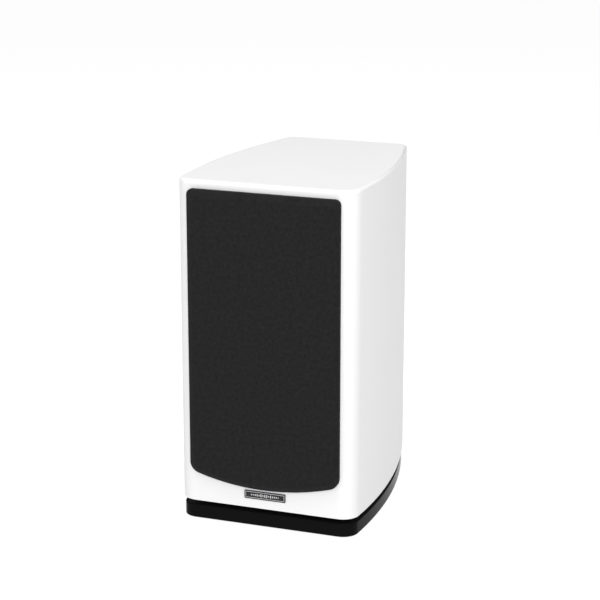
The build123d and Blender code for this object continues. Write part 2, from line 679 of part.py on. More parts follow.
export_step(woofer_surround.part, "parts/woofer_surround.step")

CONE_EDGE_RADIUS = 46.8
CONE_EDGE_DEPTH = 2.5
CONE_NECK_RADIUS = 13.0
CONE_NECK_DEPTH = 24.0
CONE_MIDDLE = (29.0, 10.2)
CONE_THICKNESS = 0.9
CONE_NECK_THICKNESS = 1.6
CONE_MIDDLE_BACK = (28.5, 11.1)

with BuildPart() as woofer_cone:
    with BuildSketch(WOOFER_PLANE):
        with BuildLine():
            ThreePointArc(
                (CONE_EDGE_RADIUS, CONE_EDGE_DEPTH),
                CONE_MIDDLE,
                (CONE_NECK_RADIUS, CONE_NECK_DEPTH),
            )
            Line(
                (CONE_NECK_RADIUS, CONE_NECK_DEPTH),
                (CONE_NECK_RADIUS, CONE_NECK_DEPTH + CONE_NECK_THICKNESS),
            )
            ThreePointArc(
                (CONE_NECK_RADIUS, CONE_NECK_DEPTH + CONE_NECK_THICKNESS),
                CONE_MIDDLE_BACK,
                (CONE_EDGE_RADIUS, CONE_EDGE_DEPTH + CONE_THICKNESS),
            )
            Line(
                (CONE_EDGE_RADIUS, CONE_EDGE_DEPTH + CONE_THICKNESS),
                (CONE_EDGE_RADIUS, CONE_EDGE_DEPTH),
            )
        make_face()
    revolve(axis=WOOFER_AXIS)
woofer_cone.part.label = "woofer_cone"
export_step(woofer_cone.part, "parts/woofer_cone.step")

CAP_RADIUS = 18.0
CAP_RIM_DEPTH = 18.2
CAP_HEIGHT = 7.0
CAP_THICKNESS = 0.6

with BuildPart() as woofer_dust_cap:
    with BuildSketch(WOOFER_PLANE):
        with BuildLine():
            ThreePointArc(
                (-CAP_RADIUS, CAP_RIM_DEPTH),
                (0, CAP_RIM_DEPTH - CAP_HEIGHT),
                (CAP_RADIUS, CAP_RIM_DEPTH),
            )
            Line((CAP_RADIUS, CAP_RIM_DEPTH), (CAP_RADIUS - CAP_THICKNESS, CAP_RIM_DEPTH))
            ThreePointArc(
                (CAP_RADIUS - CAP_THICKNESS, CAP_RIM_DEPTH),
                (0, CAP_RIM_DEPTH - CAP_HEIGHT + CAP_THICKNESS),
                (CAP_THICKNESS - CAP_RADIUS, CAP_RIM_DEPTH),
            )
            Line((CAP_THICKNESS - CAP_RADIUS, CAP_RIM_DEPTH), (-CAP_RADIUS, CAP_RIM_DEPTH))
        make_face()
        with Locations((BIG / 2, 0)):
            Rectangle(BIG, BIG, mode=Mode.INTERSECT)
    revolve(axis=WOOFER_AXIS)
woofer_dust_cap.part.label = "woofer_dust_cap"
export_step(woofer_dust_cap.part, "parts/woofer_dust_cap.step")

with BuildPart() as woofer_coil_former:
    with BuildSketch(WOOFER_PLANE):
        ring_profile(*WOOFER_FORMER)
    revolve(axis=WOOFER_AXIS)
woofer_coil_former.part.label = "woofer_coil_former"
export_step(woofer_coil_former.part, "parts/woofer_coil_former.step")

with BuildPart() as woofer_coil_winding:
    with BuildSketch(WOOFER_PLANE):
        ring_profile(*WOOFER_WINDING)
    revolve(axis=WOOFER_AXIS)
woofer_coil_winding.part.label = "woofer_coil_winding"
export_step(woofer_coil_winding.part, "parts/woofer_coil_winding.step")

SPIDER_INNER = 13.0
SPIDER_WAVE_START = 15.0
SPIDER_PITCH = 2.1
SPIDER_WAVES = 10
SPIDER_OUTER = 40.3
SPIDER_DEPTH = 30.2
SPIDER_SWING = 0.9
SPIDER_THICKNESS = 0.6


def spider_line(depth):
    """Corrugated line from the collar to the rim, as a chain of arcs that bow to and fro."""
    Line((SPIDER_INNER, depth), (SPIDER_WAVE_START, depth))
    for wave in range(SPIDER_WAVES):
        start = SPIDER_WAVE_START + wave * SPIDER_PITCH
        swing = SPIDER_SWING if wave % 2 else -SPIDER_SWING
        crest = (start + SPIDER_PITCH / 2, depth + swing)
        ThreePointArc((start, depth), crest, (start + SPIDER_PITCH, depth))
    Line((SPIDER_WAVE_START + SPIDER_WAVES * SPIDER_PITCH, depth), (SPIDER_OUTER, depth))


with BuildPart() as woofer_spider:
    with BuildSketch(WOOFER_PLANE):
        with BuildLine():
            spider_line(SPIDER_DEPTH)
            spider_line(SPIDER_DEPTH + SPIDER_THICKNESS)
            Line((SPIDER_INNER, SPIDER_DEPTH), (SPIDER_INNER, SPIDER_DEPTH + SPIDER_THICKNESS))
            Line((SPIDER_OUTER, SPIDER_DEPTH), (SPIDER_OUTER, SPIDER_DEPTH + SPIDER_THICKNESS))
        make_face()
    revolve(axis=WOOFER_AXIS)
woofer_spider.part.label = "woofer_spider"
export_step(woofer_spider.part, "parts/woofer_spider.step")

with BuildPart() as woofer_front_plate:
    with BuildSketch(WOOFER_PLANE):
        ring_profile(*WOOFER_FRONT_PLATE)
    revolve(axis=WOOFER_AXIS)
    chamfer(outer_edges(woofer_front_plate), PLATE_CHAMFER)
woofer_front_plate.part.label = "woofer_front_plate"
export_step(woofer_front_plate.part, "parts/woofer_front_plate.step")

with BuildPart() as woofer_magnet:
    with BuildSketch(WOOFER_PLANE):
        ring_profile(*WOOFER_MAGNET)
    revolve(axis=WOOFER_AXIS)
    chamfer(outer_edges(woofer_magnet), MAGNET_CHAMFER)
woofer_magnet.part.label = "woofer_magnet"
export_step(woofer_magnet.part, "parts/woofer_magnet.step")

with BuildPart() as woofer_back_plate:
    with BuildSketch(WOOFER_PLANE):
        with BuildLine():
            Polyline(
                (4.0, 41.5),
                (11.9, 41.5),
                (11.9, 64.0),
                (38.5, 64.0),
                (38.5, 69.0),
                (37.5, 70.0),
                (4.0, 70.0),
                close=True,
            )
        make_face()
    revolve(axis=WOOFER_AXIS)
woofer_back_plate.part.label = "woofer_back_plate"
export_step(woofer_back_plate.part, "parts/woofer_back_plate.step")

TAG_STRIP_Z = WOOFER_Z + 44.6
TAG_STRIP_DEPTH = 38.0
TAG_STRIP_SIZE = (16.0, 10.0, 1.6)
TAG_SIZE = (4.8, 10.0, 0.8)
TAG_X = 5.0
TAG_Z = TAG_STRIP_Z + TAG_STRIP_SIZE[2] + TAG_SIZE[2] / 2
TAG_END_DEPTH = 50.0
TAG_MIDDLE_Y = FRONT_Y + TAG_END_DEPTH - TAG_SIZE[1] / 2

with BuildPart() as woofer_terminals:
    with Locations((0, FRONT_Y + TAG_STRIP_DEPTH, TAG_STRIP_Z)):
        Box(*TAG_STRIP_SIZE, align=OUTWARDS)
    with Locations((-TAG_X, TAG_MIDDLE_Y, TAG_Z), (TAG_X, TAG_MIDDLE_Y, TAG_Z)):
        Box(*TAG_SIZE)
woofer_terminals.part.label = "woofer_terminals"
export_step(woofer_terminals.part, "parts/woofer_terminals.step")


def cross_recess(length, width, depth):
    """Cross slot cut down into a screw head."""
    Box(length, width, depth, align=INWARDS, mode=Mode.SUBTRACT)
    Box(width, length, depth, align=INWARDS, mode=Mode.SUBTRACT)


def driver_screws(z, circle, count):
    """Countersunk wood screws with a cross recess, heads flush with the driver's rim."""
    with Locations(depth_plane(0, z)):
        with PolarLocations(circle, count, start_angle=DRIVER_SCREW_START):
            Cone(DRIVER_SCREW_RADIUS, DRIVER_HEAD_RADIUS, DRIVER_HEAD_DEPTH, align=INWARDS)
            Cylinder(DRIVER_SCREW_RADIUS, DRIVER_SCREW_DEPTH, align=INWARDS)
            cross_recess(*DRIVER_RECESS)


with BuildPart() as woofer_screws:
    driver_screws(WOOFER_Z, WOOFER_SCREW_CIRCLE, WOOFER_SCREW_COUNT)
woofer_screws.part.label = "woofer_screws"
export_step(woofer_screws.part, "parts/woofer_screws.step")

# ---------------------------------------------------------------- tweeter, radius and depth profiles
with BuildPart() as tweeter_faceplate:
    with BuildSketch(TWEETER_PLANE):
        with BuildLine():
            Polyline(
                (33.0, 0),
                (48.4, 0),
                (49.0, 0.6),
                (49.0, 4.0),
                (36.0, 4.0),
                (36.0, 9.5),
                (21.0, 9.5),
                (21.0, 6.2),
                (17.0, 6.2),
                (17.0, 5.4),
            )
            ThreePointArc((17.0, 5.4), (23.5, 1.9), (33.0, 0))
        make_face()
    revolve(axis=TWEETER_AXIS)
    with Locations(depth_plane(0, TWEETER_Z)):
        countersunk_holes(TWEETER_SCREW_CIRCLE, TWEETER_SCREW_COUNT)
tweeter_faceplate.part.label = "tweeter_faceplate"
export_step(tweeter_faceplate.part, "parts/tweeter_faceplate.step")

with BuildPart() as tweeter_gasket:
    with BuildSketch(TWEETER_PLANE):
        ring_profile(*TWEETER_GASKET)
    revolve(axis=TWEETER_AXIS)
    driver_screw_holes(DRIVER_SCREW_DEPTH, DRIVER_SCREW_RADIUS + HOLE_PLAY)
tweeter_gasket.part.label = "tweeter_gasket"
export_step(tweeter_gasket.part, "parts/tweeter_gasket.step")

DOME_RADIUS = 12.5
DOME_RIM_DEPTH = 6.7
DOME_HEIGHT = 5.4
DOME_THICKNESS = 0.4

with BuildPart() as tweeter_dome:
    with BuildSketch(TWEETER_PLANE):
        with BuildLine():
            ThreePointArc(
                (-DOME_RADIUS, DOME_RIM_DEPTH),
                (0, DOME_RIM_DEPTH - DOME_HEIGHT),
                (DOME_RADIUS, DOME_RIM_DEPTH),
            )
            Line((DOME_RADIUS, DOME_RIM_DEPTH), (DOME_RADIUS - DOME_THICKNESS, DOME_RIM_DEPTH))
            ThreePointArc(
                (DOME_RADIUS - DOME_THICKNESS, DOME_RIM_DEPTH),
                (0, DOME_RIM_DEPTH - DOME_HEIGHT + DOME_THICKNESS),
                (DOME_THICKNESS - DOME_RADIUS, DOME_RIM_DEPTH),
            )
            Line((DOME_THICKNESS - DOME_RADIUS, DOME_RIM_DEPTH), (-DOME_RADIUS, DOME_RIM_DEPTH))
        make_face()
        with Locations((BIG / 2, 0)):
            Rectangle(BIG, BIG, mode=Mode.INTERSECT)
    revolve(axis=TWEETER_AXIS)
tweeter_dome.part.label = "tweeter_dome"
export_step(tweeter_dome.part, "parts/tweeter_dome.step")

DOME_ROLL_CENTRE = 14.5
DOME_ROLL_OUTER = 1.9
DOME_ROLL_INNER = 1.5
DOME_LIP_RADIUS = 20.5
DOME_LIP_BACK = 7.1

with BuildPart() as tweeter_surround:
    with BuildSketch(TWEETER_PLANE):
        with BuildLine():
            ThreePointArc(
                (DOME_ROLL_CENTRE - DOME_ROLL_OUTER, DOME_RIM_DEPTH),
                (DOME_ROLL_CENTRE, DOME_RIM_DEPTH - DOME_ROLL_OUTER),
                (DOME_ROLL_CENTRE + DOME_ROLL_OUTER, DOME_RIM_DEPTH),
            )
            Polyline(
                (DOME_ROLL_CENTRE + DOME_ROLL_OUTER, DOME_RIM_DEPTH),
                (DOME_LIP_RADIUS, DOME_RIM_DEPTH),
                (DOME_LIP_RADIUS, DOME_LIP_BACK),
                (DOME_ROLL_CENTRE + DOME_ROLL_INNER, DOME_LIP_BACK),
                (DOME_ROLL_CENTRE + DOME_ROLL_INNER, DOME_RIM_DEPTH),
            )
            ThreePointArc(
                (DOME_ROLL_CENTRE + DOME_ROLL_INNER, DOME_RIM_DEPTH),
                (DOME_ROLL_CENTRE, DOME_RIM_DEPTH - DOME_ROLL_INNER),
                (DOME_ROLL_CENTRE - DOME_ROLL_INNER, DOME_RIM_DEPTH),
            )
            Line(
                (DOME_ROLL_CENTRE - DOME_ROLL_INNER, DOME_RIM_DEPTH),
                (DOME_ROLL_CENTRE - DOME_ROLL_OUTER, DOME_RIM_DEPTH),
            )
        make_face()
    revolve(axis=TWEETER_AXIS)
tweeter_surround.part.label = "tweeter_surround"
export_step(tweeter_surround.part, "parts/tweeter_surround.step")

with BuildPart() as tweeter_voice_coil:
    with BuildSketch(TWEETER_PLANE):
        with BuildLine():
            Polyline(
                (12.2, 6.75),
                (12.5, 6.75),
                (12.5, 10.0),
                (13.0, 10.0),
                (13.0, 14.0),
                (12.2, 14.0),
                close=True,
            )
        make_face()
    revolve(axis=TWEETER_AXIS)
tweeter_voice_coil.part.label = "tweeter_voice_coil"
export_step(tweeter_voice_coil.part, "parts/tweeter_voice_coil.step")

with BuildPart() as tweeter_front_plate:
    with BuildSketch(TWEETER_PLANE):
        ring_profile(*TWEETER_FRONT_PLATE)
    revolve(axis=TWEETER_AXIS)
tweeter_front_plate.part.label = "tweeter_front_plate"
export_step(tweeter_front_plate.part, "parts/tweeter_front_plate.step")

with BuildPart() as tweeter_magnet:
    with BuildSketch(TWEETER_PLANE):
        ring_profile(*TWEETER_MAGNET)
    revolve(axis=TWEETER_AXIS)
    chamfer(outer_edges(tweeter_magnet), MAGNET_CHAMFER)
tweeter_magnet.part.label = "tweeter_magnet"
export_step(tweeter_magnet.part, "parts/tweeter_magnet.step")

with BuildPart() as tweeter_back_plate:
    with BuildSketch(TWEETER_PLANE):
        with BuildLine():
            Polyline(
                (3.0, 9.0),
                (11.8, 9.0),
                (11.8, 23.5),
                (33.0, 23.5),
                (33.0, 27.4),
                (32.4, 28.0),
                (3.0, 28.0),
                close=True,
            )
        make_face()
    revolve(axis=TWEETER_AXIS)
tweeter_back_plate.part.label = "tweeter_back_plate"
export_step(tweeter_back_plate.part, "parts/tweeter_back_plate.step")

with BuildPart() as tweeter_rear_chamber:
    with BuildSketch(TWEETER_PLANE):
        with BuildLine():
            Polyline(
                (0, 40.0),
                (20.0, 40.0),
                (20.0, 28.0),
                (22.0, 28.0),
                (22.0, 41.0),
                (21.0, 42.0),
                (0, 42.0),
                close=True,
            )
        make_face()
    revolve(axis=TWEETER_AXIS)
tweeter_rear_chamber.part.label = "tweeter_rear_chamber"
export_step(tweeter_rear_chamber.part, "parts/tweeter_rear_chamber.step")

with BuildPart() as tweeter_screws:
    driver_screws(TWEETER_Z, TWEETER_SCREW_CIRCLE, TWEETER_SCREW_COUNT)
tweeter_screws.part.label = "tweeter_screws"
export_step(tweeter_screws.part, "parts/tweeter_screws.step")

# ---------------------------------------------------------------- crossover network
BOARD_WIDTH = 84.0
BOARD_HEIGHT = 84.0
BOARD_THICKNESS = 1.6
BOARD_CORNER = 3.0
BOARD_Z = 220.0
STANDOFF = 6.0
STANDOFF_RADIUS = 3.5
STANDOFF_HEAD_RADIUS = 2.8
STANDOFF_HEAD = 1.8
STANDOFF_SPACING = 74.0
BOARD_BACK_Y = INNER_REAR_Y - STANDOFF
BOARD_FACE_Y = BOARD_BACK_Y - BOARD_THICKNESS
BOARD_HOLE_RADIUS = 1.6
BOARD_PLANE = Plane((0, BOARD_FACE_Y, BOARD_Z), x_dir=(1, 0, 0), z_dir=(0, -1, 0))

with BuildPart() as crossover_board:
    with BuildSketch(BOARD_PLANE):
        RectangleRounded(BOARD_WIDTH, BOARD_HEIGHT, BOARD_CORNER)
        with GridLocations(STANDOFF_SPACING, STANDOFF_SPACING, 2, 2):
            Circle(BOARD_HOLE_RADIUS, mode=Mode.SUBTRACT)
    extrude(amount=-BOARD_THICKNESS)
crossover_board.part.label = "crossover_board"
export_step(crossover_board.part, "parts/crossover_board.step")

# Each standoff is a pillar behind the board with its screw head and shank in front of it.
with BuildPart() as crossover_standoffs:
    with Locations(BOARD_PLANE.offset(-BOARD_THICKNESS)):
        with GridLocations(STANDOFF_SPACING, STANDOFF_SPACING, 2, 2):
            Cylinder(STANDOFF_RADIUS, STANDOFF, align=INWARDS)
            Cylinder(BOARD_HOLE_RADIUS - HOLE_PLAY, BOARD_THICKNESS, align=OUTWARDS)
    with Locations(BOARD_PLANE):
        with GridLocations(STANDOFF_SPACING, STANDOFF_SPACING, 2, 2):
            Cylinder(STANDOFF_HEAD_RADIUS, STANDOFF_HEAD, align=OUTWARDS)
crossover_standoffs.part.label = "crossover_standoffs"
export_step(crossover_standoffs.part, "parts/crossover_standoffs.step")

# Each inductor is a place on the board, an outer radius and a hole radius.
INDUCTORS = [((-17.0, 18.0), 16.0, 6.0), ((19.0, 19.0), 13.0, 5.0)]
INDUCTOR_HEIGHT = 14.0
INDUCTOR_EDGE = 2.0

with BuildPart() as crossover_inductors:
    with BuildSketch(BOARD_PLANE):
        for place, outer_radius, hole_radius in INDUCTORS:
            with Locations(place):
                Circle(outer_radius)
                Circle(hole_radius, mode=Mode.SUBTRACT)
    extrude(amount=INDUCTOR_HEIGHT)
    fillet(crossover_inductors.edges().group_by(Axis.Y)[0], INDUCTOR_EDGE)
crossover_inductors.part.label = "crossover_inductors"
export_step(crossover_inductors.part, "parts/crossover_inductors.step")

CAPACITOR_RADIUS = 7.0
CAPACITOR_LENGTH = 30.0
CAPACITOR_X = 19.0
CAPACITOR_EDGE = 1.2
CAPACITOR_Y = BOARD_FACE_Y - CAPACITOR_RADIUS - HOLE_PLAY
CAPACITOR_Z = BOARD_Z - 12.0

with BuildPart() as crossover_capacitors:
    with Locations((-CAPACITOR_X, CAPACITOR_Y, CAPACITOR_Z), (CAPACITOR_X, CAPACITOR_Y, CAPACITOR_Z)):
        Cylinder(CAPACITOR_RADIUS, CAPACITOR_LENGTH, rotation=(0, 90, 0))
    fillet(crossover_capacitors.edges().filter_by(GeomType.CIRCLE), CAPACITOR_EDGE)
crossover_capacitors.part.label = "crossover_capacitors"
export_step(crossover_capacitors.part, "parts/crossover_capacitors.step")

RESISTOR_SIZE = (22.0, 9.0, 9.0)
RESISTOR_PLACES = [(-14.0, -29.0), (14.0, -29.0)]
RESISTOR_EDGE = 0.5

with BuildPart() as crossover_resistors:
    with Locations(BOARD_PLANE):
        with Locations(*RESISTOR_PLACES):
            Box(*RESISTOR_SIZE, align=OUTWARDS)
    chamfer(crossover_resistors.edges().group_by(Axis.Y)[0], RESISTOR_EDGE)
crossover_resistors.part.label = "crossover_resistors"
export_step(crossover_resistors.part, "parts/crossover_resistors.step")

# ---------------------------------------------------------------- input terminals
PLATE_BACK = PLATE_PROUD - PLATE_THICKNESS
STUD_RADIUS = 3.0
STUD_INNER_END = -13.0
STUD_BORE_RADIUS = 2.0
STUD_BORE_DEPTH = 16.0
INSULATOR_RADIUS = 7.5
INSULATOR_TOP = 3.0
INSULATOR_CHAMFER = 0.6
CLAMP_RADIUS = 6.5
CLAMP_START = 3.3
CLAMP_END = 4.3
NUT_START = 4.5
NUT_END = 12.6
NUT_RADIUS = 7.25
NUT_FLUTES = 12
FLUTE_RADIUS = 0.9
FLUTE_CIRCLE = 7.55
RUNNING_CLEARANCE = 0.09
SOLDER_TAG_RADIUS = 5.5
SOLDER_TAG = 0.8
REAR_NUT_RADIUS = 5.6
REAR_NUT = 4.5
RIDGE_OUTER = (60.0, 40.0, 6.0)
RIDGE_INNER = (56.0, 36.0, 4.0)
RIDGE_HEIGHT = 0.8
PLATE_SCREW_HEAD = (3.0, 2.0, 1.8)
PLATE_SCREW_RECESS = (2.6, 0.6, 0.9)

with BuildPart() as terminal_panel:
    with BuildSketch(rear_plane(PLATE_PROUD, TERMINAL_Z)):
        RectangleRounded(PLATE_WIDTH, PLATE_HEIGHT, PLATE_CORNER)
        with GridLocations(PLATE_SCREW_SPACING_X, PLATE_SCREW_SPACING_Z, 2, 2):
            Circle(PLATE_SCREW_RADIUS + HOLE_PLAY, mode=Mode.SUBTRACT)
        with GridLocations(POST_SPACING, 1, 2, 1):
            Circle(STUD_RADIUS + TIGHT_PLAY, mode=Mode.SUBTRACT)
    extrude(amount=-PLATE_THICKNESS)
    with BuildSketch(rear_plane(PLATE_PROUD, TERMINAL_Z)):
        RectangleRounded(*RIDGE_OUTER)
        RectangleRounded(*RIDGE_INNER, mode=Mode.SUBTRACT)
    extrude(amount=RIDGE_HEIGHT)
terminal_panel.part.label = "terminal_panel"
export_step(terminal_panel.part, "parts/terminal_panel.step")

with BuildPart() as terminal_screws:
    with Locations(rear_plane(PLATE_PROUD, TERMINAL_Z)):
        with GridLocations(PLATE_SCREW_SPACING_X, PLATE_SCREW_SPACING_Z, 2, 2):
            Cylinder(PLATE_SCREW_RADIUS, PLATE_SCREW_LENGTH, align=INWARDS)
            Cone(*PLATE_SCREW_HEAD, align=OUTWARDS)
    with Locations(rear_plane(PLATE_PROUD + PLATE_SCREW_HEAD[2], TERMINAL_Z)):
        with GridLocations(PLATE_SCREW_SPACING_X, PLATE_SCREW_SPACING_Z, 2, 2):
            cross_recess(*PLATE_SCREW_RECESS)
terminal_screws.part.label = "terminal_screws"
export_step(terminal_screws.part, "parts/terminal_screws.step")

with BuildPart() as post_insulators:
    with BuildSketch(rear_plane(PLATE_PROUD, TERMINAL_Z)):
        with GridLocations(POST_SPACING, 1, 2, 1):
            Circle(INSULATOR_RADIUS)
            Circle(STUD_RADIUS + TIGHT_PLAY, mode=Mode.SUBTRACT)
    extrude(amount=INSULATOR_TOP - PLATE_PROUD)
    outer_rims = post_insulators.edges().filter_by(GeomType.CIRCLE).group_by(Axis.Y)[-1]
    chamfer(outer_rims.group_by(SortBy.RADIUS)[-1], INSULATOR_CHAMFER)
post_insulators.part.label = "post_insulators"
export_step(post_insulators.part, "parts/post_insulators.step")

for polarity, post_x in (("positive", POST_SPACING / 2), ("negative", -POST_SPACING / 2)):
    with BuildPart() as post_stud:
        with BuildSketch(rear_plane(POST_PROUD, TERMINAL_Z)):
            with Locations((-post_x, 0)):
                Circle(STUD_RADIUS)
        extrude(amount=STUD_INNER_END - POST_PROUD)
        with BuildSketch(rear_plane(POST_PROUD, TERMINAL_Z)):
            with Locations((-post_x, 0)):
                Circle(STUD_BORE_RADIUS)
        extrude(amount=-STUD_BORE_DEPTH, mode=Mode.SUBTRACT)
    post_stud.part.label = f"{polarity}_post"
    export_step(post_stud.part, f"parts/{polarity}_post.step")

    with BuildPart() as clamp_washer:
        with BuildSketch(rear_plane(CLAMP_START, TERMINAL_Z)):
            with Locations((-post_x, 0)):
                Circle(CLAMP_RADIUS)
                Circle(STUD_RADIUS + RUNNING_CLEARANCE, mode=Mode.SUBTRACT)
        extrude(amount=CLAMP_END - CLAMP_START)
    clamp_washer.part.label = f"{polarity}_clamp_washer"
    export_step(clamp_washer.part, f"parts/{polarity}_clamp_washer.step")

    with BuildPart() as thumb_nut:
        with BuildSketch(rear_plane(NUT_START, TERMINAL_Z)):
            with Locations((-post_x, 0)):
                Circle(NUT_RADIUS)
                with PolarLocations(FLUTE_CIRCLE, NUT_FLUTES):
                    Circle(FLUTE_RADIUS, mode=Mode.SUBTRACT)
                Circle(STUD_RADIUS + RUNNING_CLEARANCE, mode=Mode.SUBTRACT)
        extrude(amount=NUT_END - NUT_START)
    thumb_nut.part.label = f"{polarity}_thumb_nut"
    export_step(thumb_nut.part, f"parts/{polarity}_thumb_nut.step")

with BuildPart() as post_rear_nuts:
    with BuildSketch(rear_plane(PLATE_BACK, TERMINAL_Z)):
        with GridLocations(POST_SPACING, 1, 2, 1):
            Circle(SOLDER_TAG_RADIUS)
            Circle(STUD_RADIUS + TIGHT_PLAY, mode=Mode.SUBTRACT)
    extrude(amount=-SOLDER_TAG)
    with BuildSketch(rear_plane(PLATE_BACK - SOLDER_TAG, TERMINAL_Z)):
        with GridLocations(POST_SPACING, 1, 2, 1):
            RegularPolygon(REAR_NUT_RADIUS, 6)
            Circle(STUD_RADIUS + TIGHT_PLAY, mode=Mode.SUBTRACT)
    extrude(amount=-REAR_NUT)
post_rear_nuts.part.label = "post_rear_nuts"
export_step(post_rear_nuts.part, "parts/post_rear_nuts.step")

# ---------------------------------------------------------------- internal leads
LEAD_RADIUS = 1.2
LEAD_GAP = 0.2
BEND_SHARE = 0.45
BOARD_EDGE_Y = BOARD_FACE_Y - LEAD_RADIUS - LEAD_GAP


def lead_routes(side):
    """Routes of one polarity's leads: input to board, board to woofer, board to tweeter."""
    return [
        [
            (side * POST_SPACING / 2, REAR_Y + STUD_INNER_END - LEAD_GAP, TERMINAL_Z),
            (side * POST_SPACING / 2, 84, 96),
            (side * 16, 71, 118),
            (side * 26, 74, 146),
            (side * 31, 89, 166),
            (side * 33, BOARD_EDGE_Y, 184),
        ],
        [
            (side * 27, BOARD_EDGE_Y, 184),
            (side * 27, 92, 168),
            (side * 24, 68, 165),
            (side * 19, 28, 182),
            (side * 13, -18, 194),
            (side * 6, -52, 195),
            (side * TAG_X, FRONT_Y + TAG_END_DEPTH + LEAD_GAP, TAG_Z),
        ],
        [
            (side * 30, BOARD_EDGE_Y, 258),
            (side * 35, 74, 263),
            (side * 37, 42, 254),
            (side * 38, 0, 248),
            (side * 36, -42, 249),
            (side * 31, -76, 262),
            (side * 27, FRONT_Y + 29.2, 275),
        ],
    ]


def bend_radii(points):
    """Tangent arc at each bend that takes up a fixed share of its shorter run."""
    radii = []
    for before, here, after in zip(points, points[1:], points[2:]):
        run_in = Vector(here) - Vector(before)
        run_out = Vector(after) - Vector(here)
        half_turn = math.radians(run_in.get_angle(run_out)) / 2
        radii.append(BEND_SHARE * min(run_in.length, run_out.length) / math.tan(half_turn))
    return radii


for lead_name, lead_side in (("positive_leads", 1), ("negative_leads", -1)):
    with BuildPart() as lead_set:
        for route in lead_routes(lead_side):
            with BuildLine() as lead_path:
                FilletPolyline(*route, radius=bend_radii(route))
            with BuildSketch(lead_path.line ^ 0):
                Circle(LEAD_RADIUS)
            sweep(path=lead_path.line)
    lead_set.part.label = lead_name
    export_step(lead_set.part, f"parts/{lead_name}.step")
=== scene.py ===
"""Looks of a two-way bookshelf speaker around its CAD frame. Metres, +Z up, front towards -Y."""

import json
import math

import bpy
import bmesh
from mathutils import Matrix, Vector, noise


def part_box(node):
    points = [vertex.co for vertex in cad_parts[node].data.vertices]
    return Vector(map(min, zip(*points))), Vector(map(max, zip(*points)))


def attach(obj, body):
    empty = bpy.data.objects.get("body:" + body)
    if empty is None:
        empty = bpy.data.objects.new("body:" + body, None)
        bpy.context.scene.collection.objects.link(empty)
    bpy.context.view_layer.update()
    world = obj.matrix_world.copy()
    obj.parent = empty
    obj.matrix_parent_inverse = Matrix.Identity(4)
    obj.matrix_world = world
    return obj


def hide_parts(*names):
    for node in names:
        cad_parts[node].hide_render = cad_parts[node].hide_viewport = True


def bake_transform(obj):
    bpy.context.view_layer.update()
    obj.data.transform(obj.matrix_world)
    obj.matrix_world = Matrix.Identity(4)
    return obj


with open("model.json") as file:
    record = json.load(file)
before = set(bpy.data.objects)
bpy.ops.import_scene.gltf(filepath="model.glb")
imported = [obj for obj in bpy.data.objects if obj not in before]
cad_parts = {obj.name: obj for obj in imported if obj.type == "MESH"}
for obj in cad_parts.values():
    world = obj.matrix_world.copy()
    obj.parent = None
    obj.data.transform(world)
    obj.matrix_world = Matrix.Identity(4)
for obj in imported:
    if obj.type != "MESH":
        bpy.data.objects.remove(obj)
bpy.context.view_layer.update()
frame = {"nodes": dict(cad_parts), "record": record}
NODES = frame["nodes"]
SLOT_OF = {row["node"]: row["material_slot"] for row in frame["record"]["subparts"]}
MM = 0.001

FRONT_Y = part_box("front_baffle")[0].y


def driver_centre(node):
    """Middle of a round node, as a point on its driver's axis."""
    low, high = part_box(node)
    return (low + high) / 2


WOOFER_CENTRE = driver_centre("woofer_cone")
TWEETER_CENTRE = driver_centre("tweeter_dome")


# ---------------------------------------------------------------- camera
CAMERA_AZIMUTH = math.radians(20.27)
CAMERA_ELEVATION = math.radians(15.44)
CAMERA_DISTANCE = 1.8225
CAMERA_AIM = Vector((0.0365, FRONT_Y, 0.2368))
CAMERA_LENS = 115.5
CAMERA_SENSOR = 36.0


def make_camera():
    """Long-lens camera at the photograph's viewing angle."""
    data = bpy.data.cameras.new("camera")
    data.lens = CAMERA_LENS
    data.sensor_width = CAMERA_SENSOR
    camera = bpy.data.objects.new("camera", data)
    bpy.context.scene.collection.objects.link(camera)
    back = Vector(
        (
            math.sin(CAMERA_AZIMUTH) * math.cos(CAMERA_ELEVATION),
            -math.cos(CAMERA_AZIMUTH) * math.cos(CAMERA_ELEVATION),
            math.sin(CAMERA_ELEVATION),
        )
    )
    camera.location = CAMERA_AIM + back * CAMERA_DISTANCE
    camera.rotation_mode = "QUATERNION"
    camera.rotation_quaternion = (-back).to_track_quat("-Z", "Y")
    bpy.context.scene.camera = camera


# ---------------------------------------------------------------- stage and light
FLOOR_HALF = 30.0
FLOOR_ALBEDO = 0.24
FLOOR_GLOW = 0.86
FLOOR_ROUGHNESS = 0.9
SKY_DIRECTION = Vector((0.1, -0.35, 0.93)).normalized()
SKY_STRENGTH = 0.70
TARGET = (0.0, 0.0, 0.17)

# Each lamp is a name, a place, a size and a power in watts.
LAMPS = [
    ("top_lamp", (0.0, -0.2, 2.2), (2.4, 2.0), 36.0),
    ("front_lamp", (0.65, -2.4, 1.1), (1.2, 1.4), 22.0),
    ("right_front_lamp", (1.3, -2.1, 1.0), (1.0, 1.4), 10.0),
]


def make_lamp(name, place, size, power):
    """Soft rectangular lamp that points at the middle of the speaker."""
    data = bpy.data.lights.new(name, "AREA")
    data.energy = power
    data.shape = "RECTANGLE"
    data.size, data.size_y = size
    lamp = bpy.data.objects.new(name, data)
    bpy.context.scene.collection.objects.link(lamp)
    lamp.location = place
    lamp.rotation_mode = "QUATERNION"
    lamp.rotation_quaternion = (Vector(TARGET) - Vector(place)).to_track_quat("-Z", "Y")


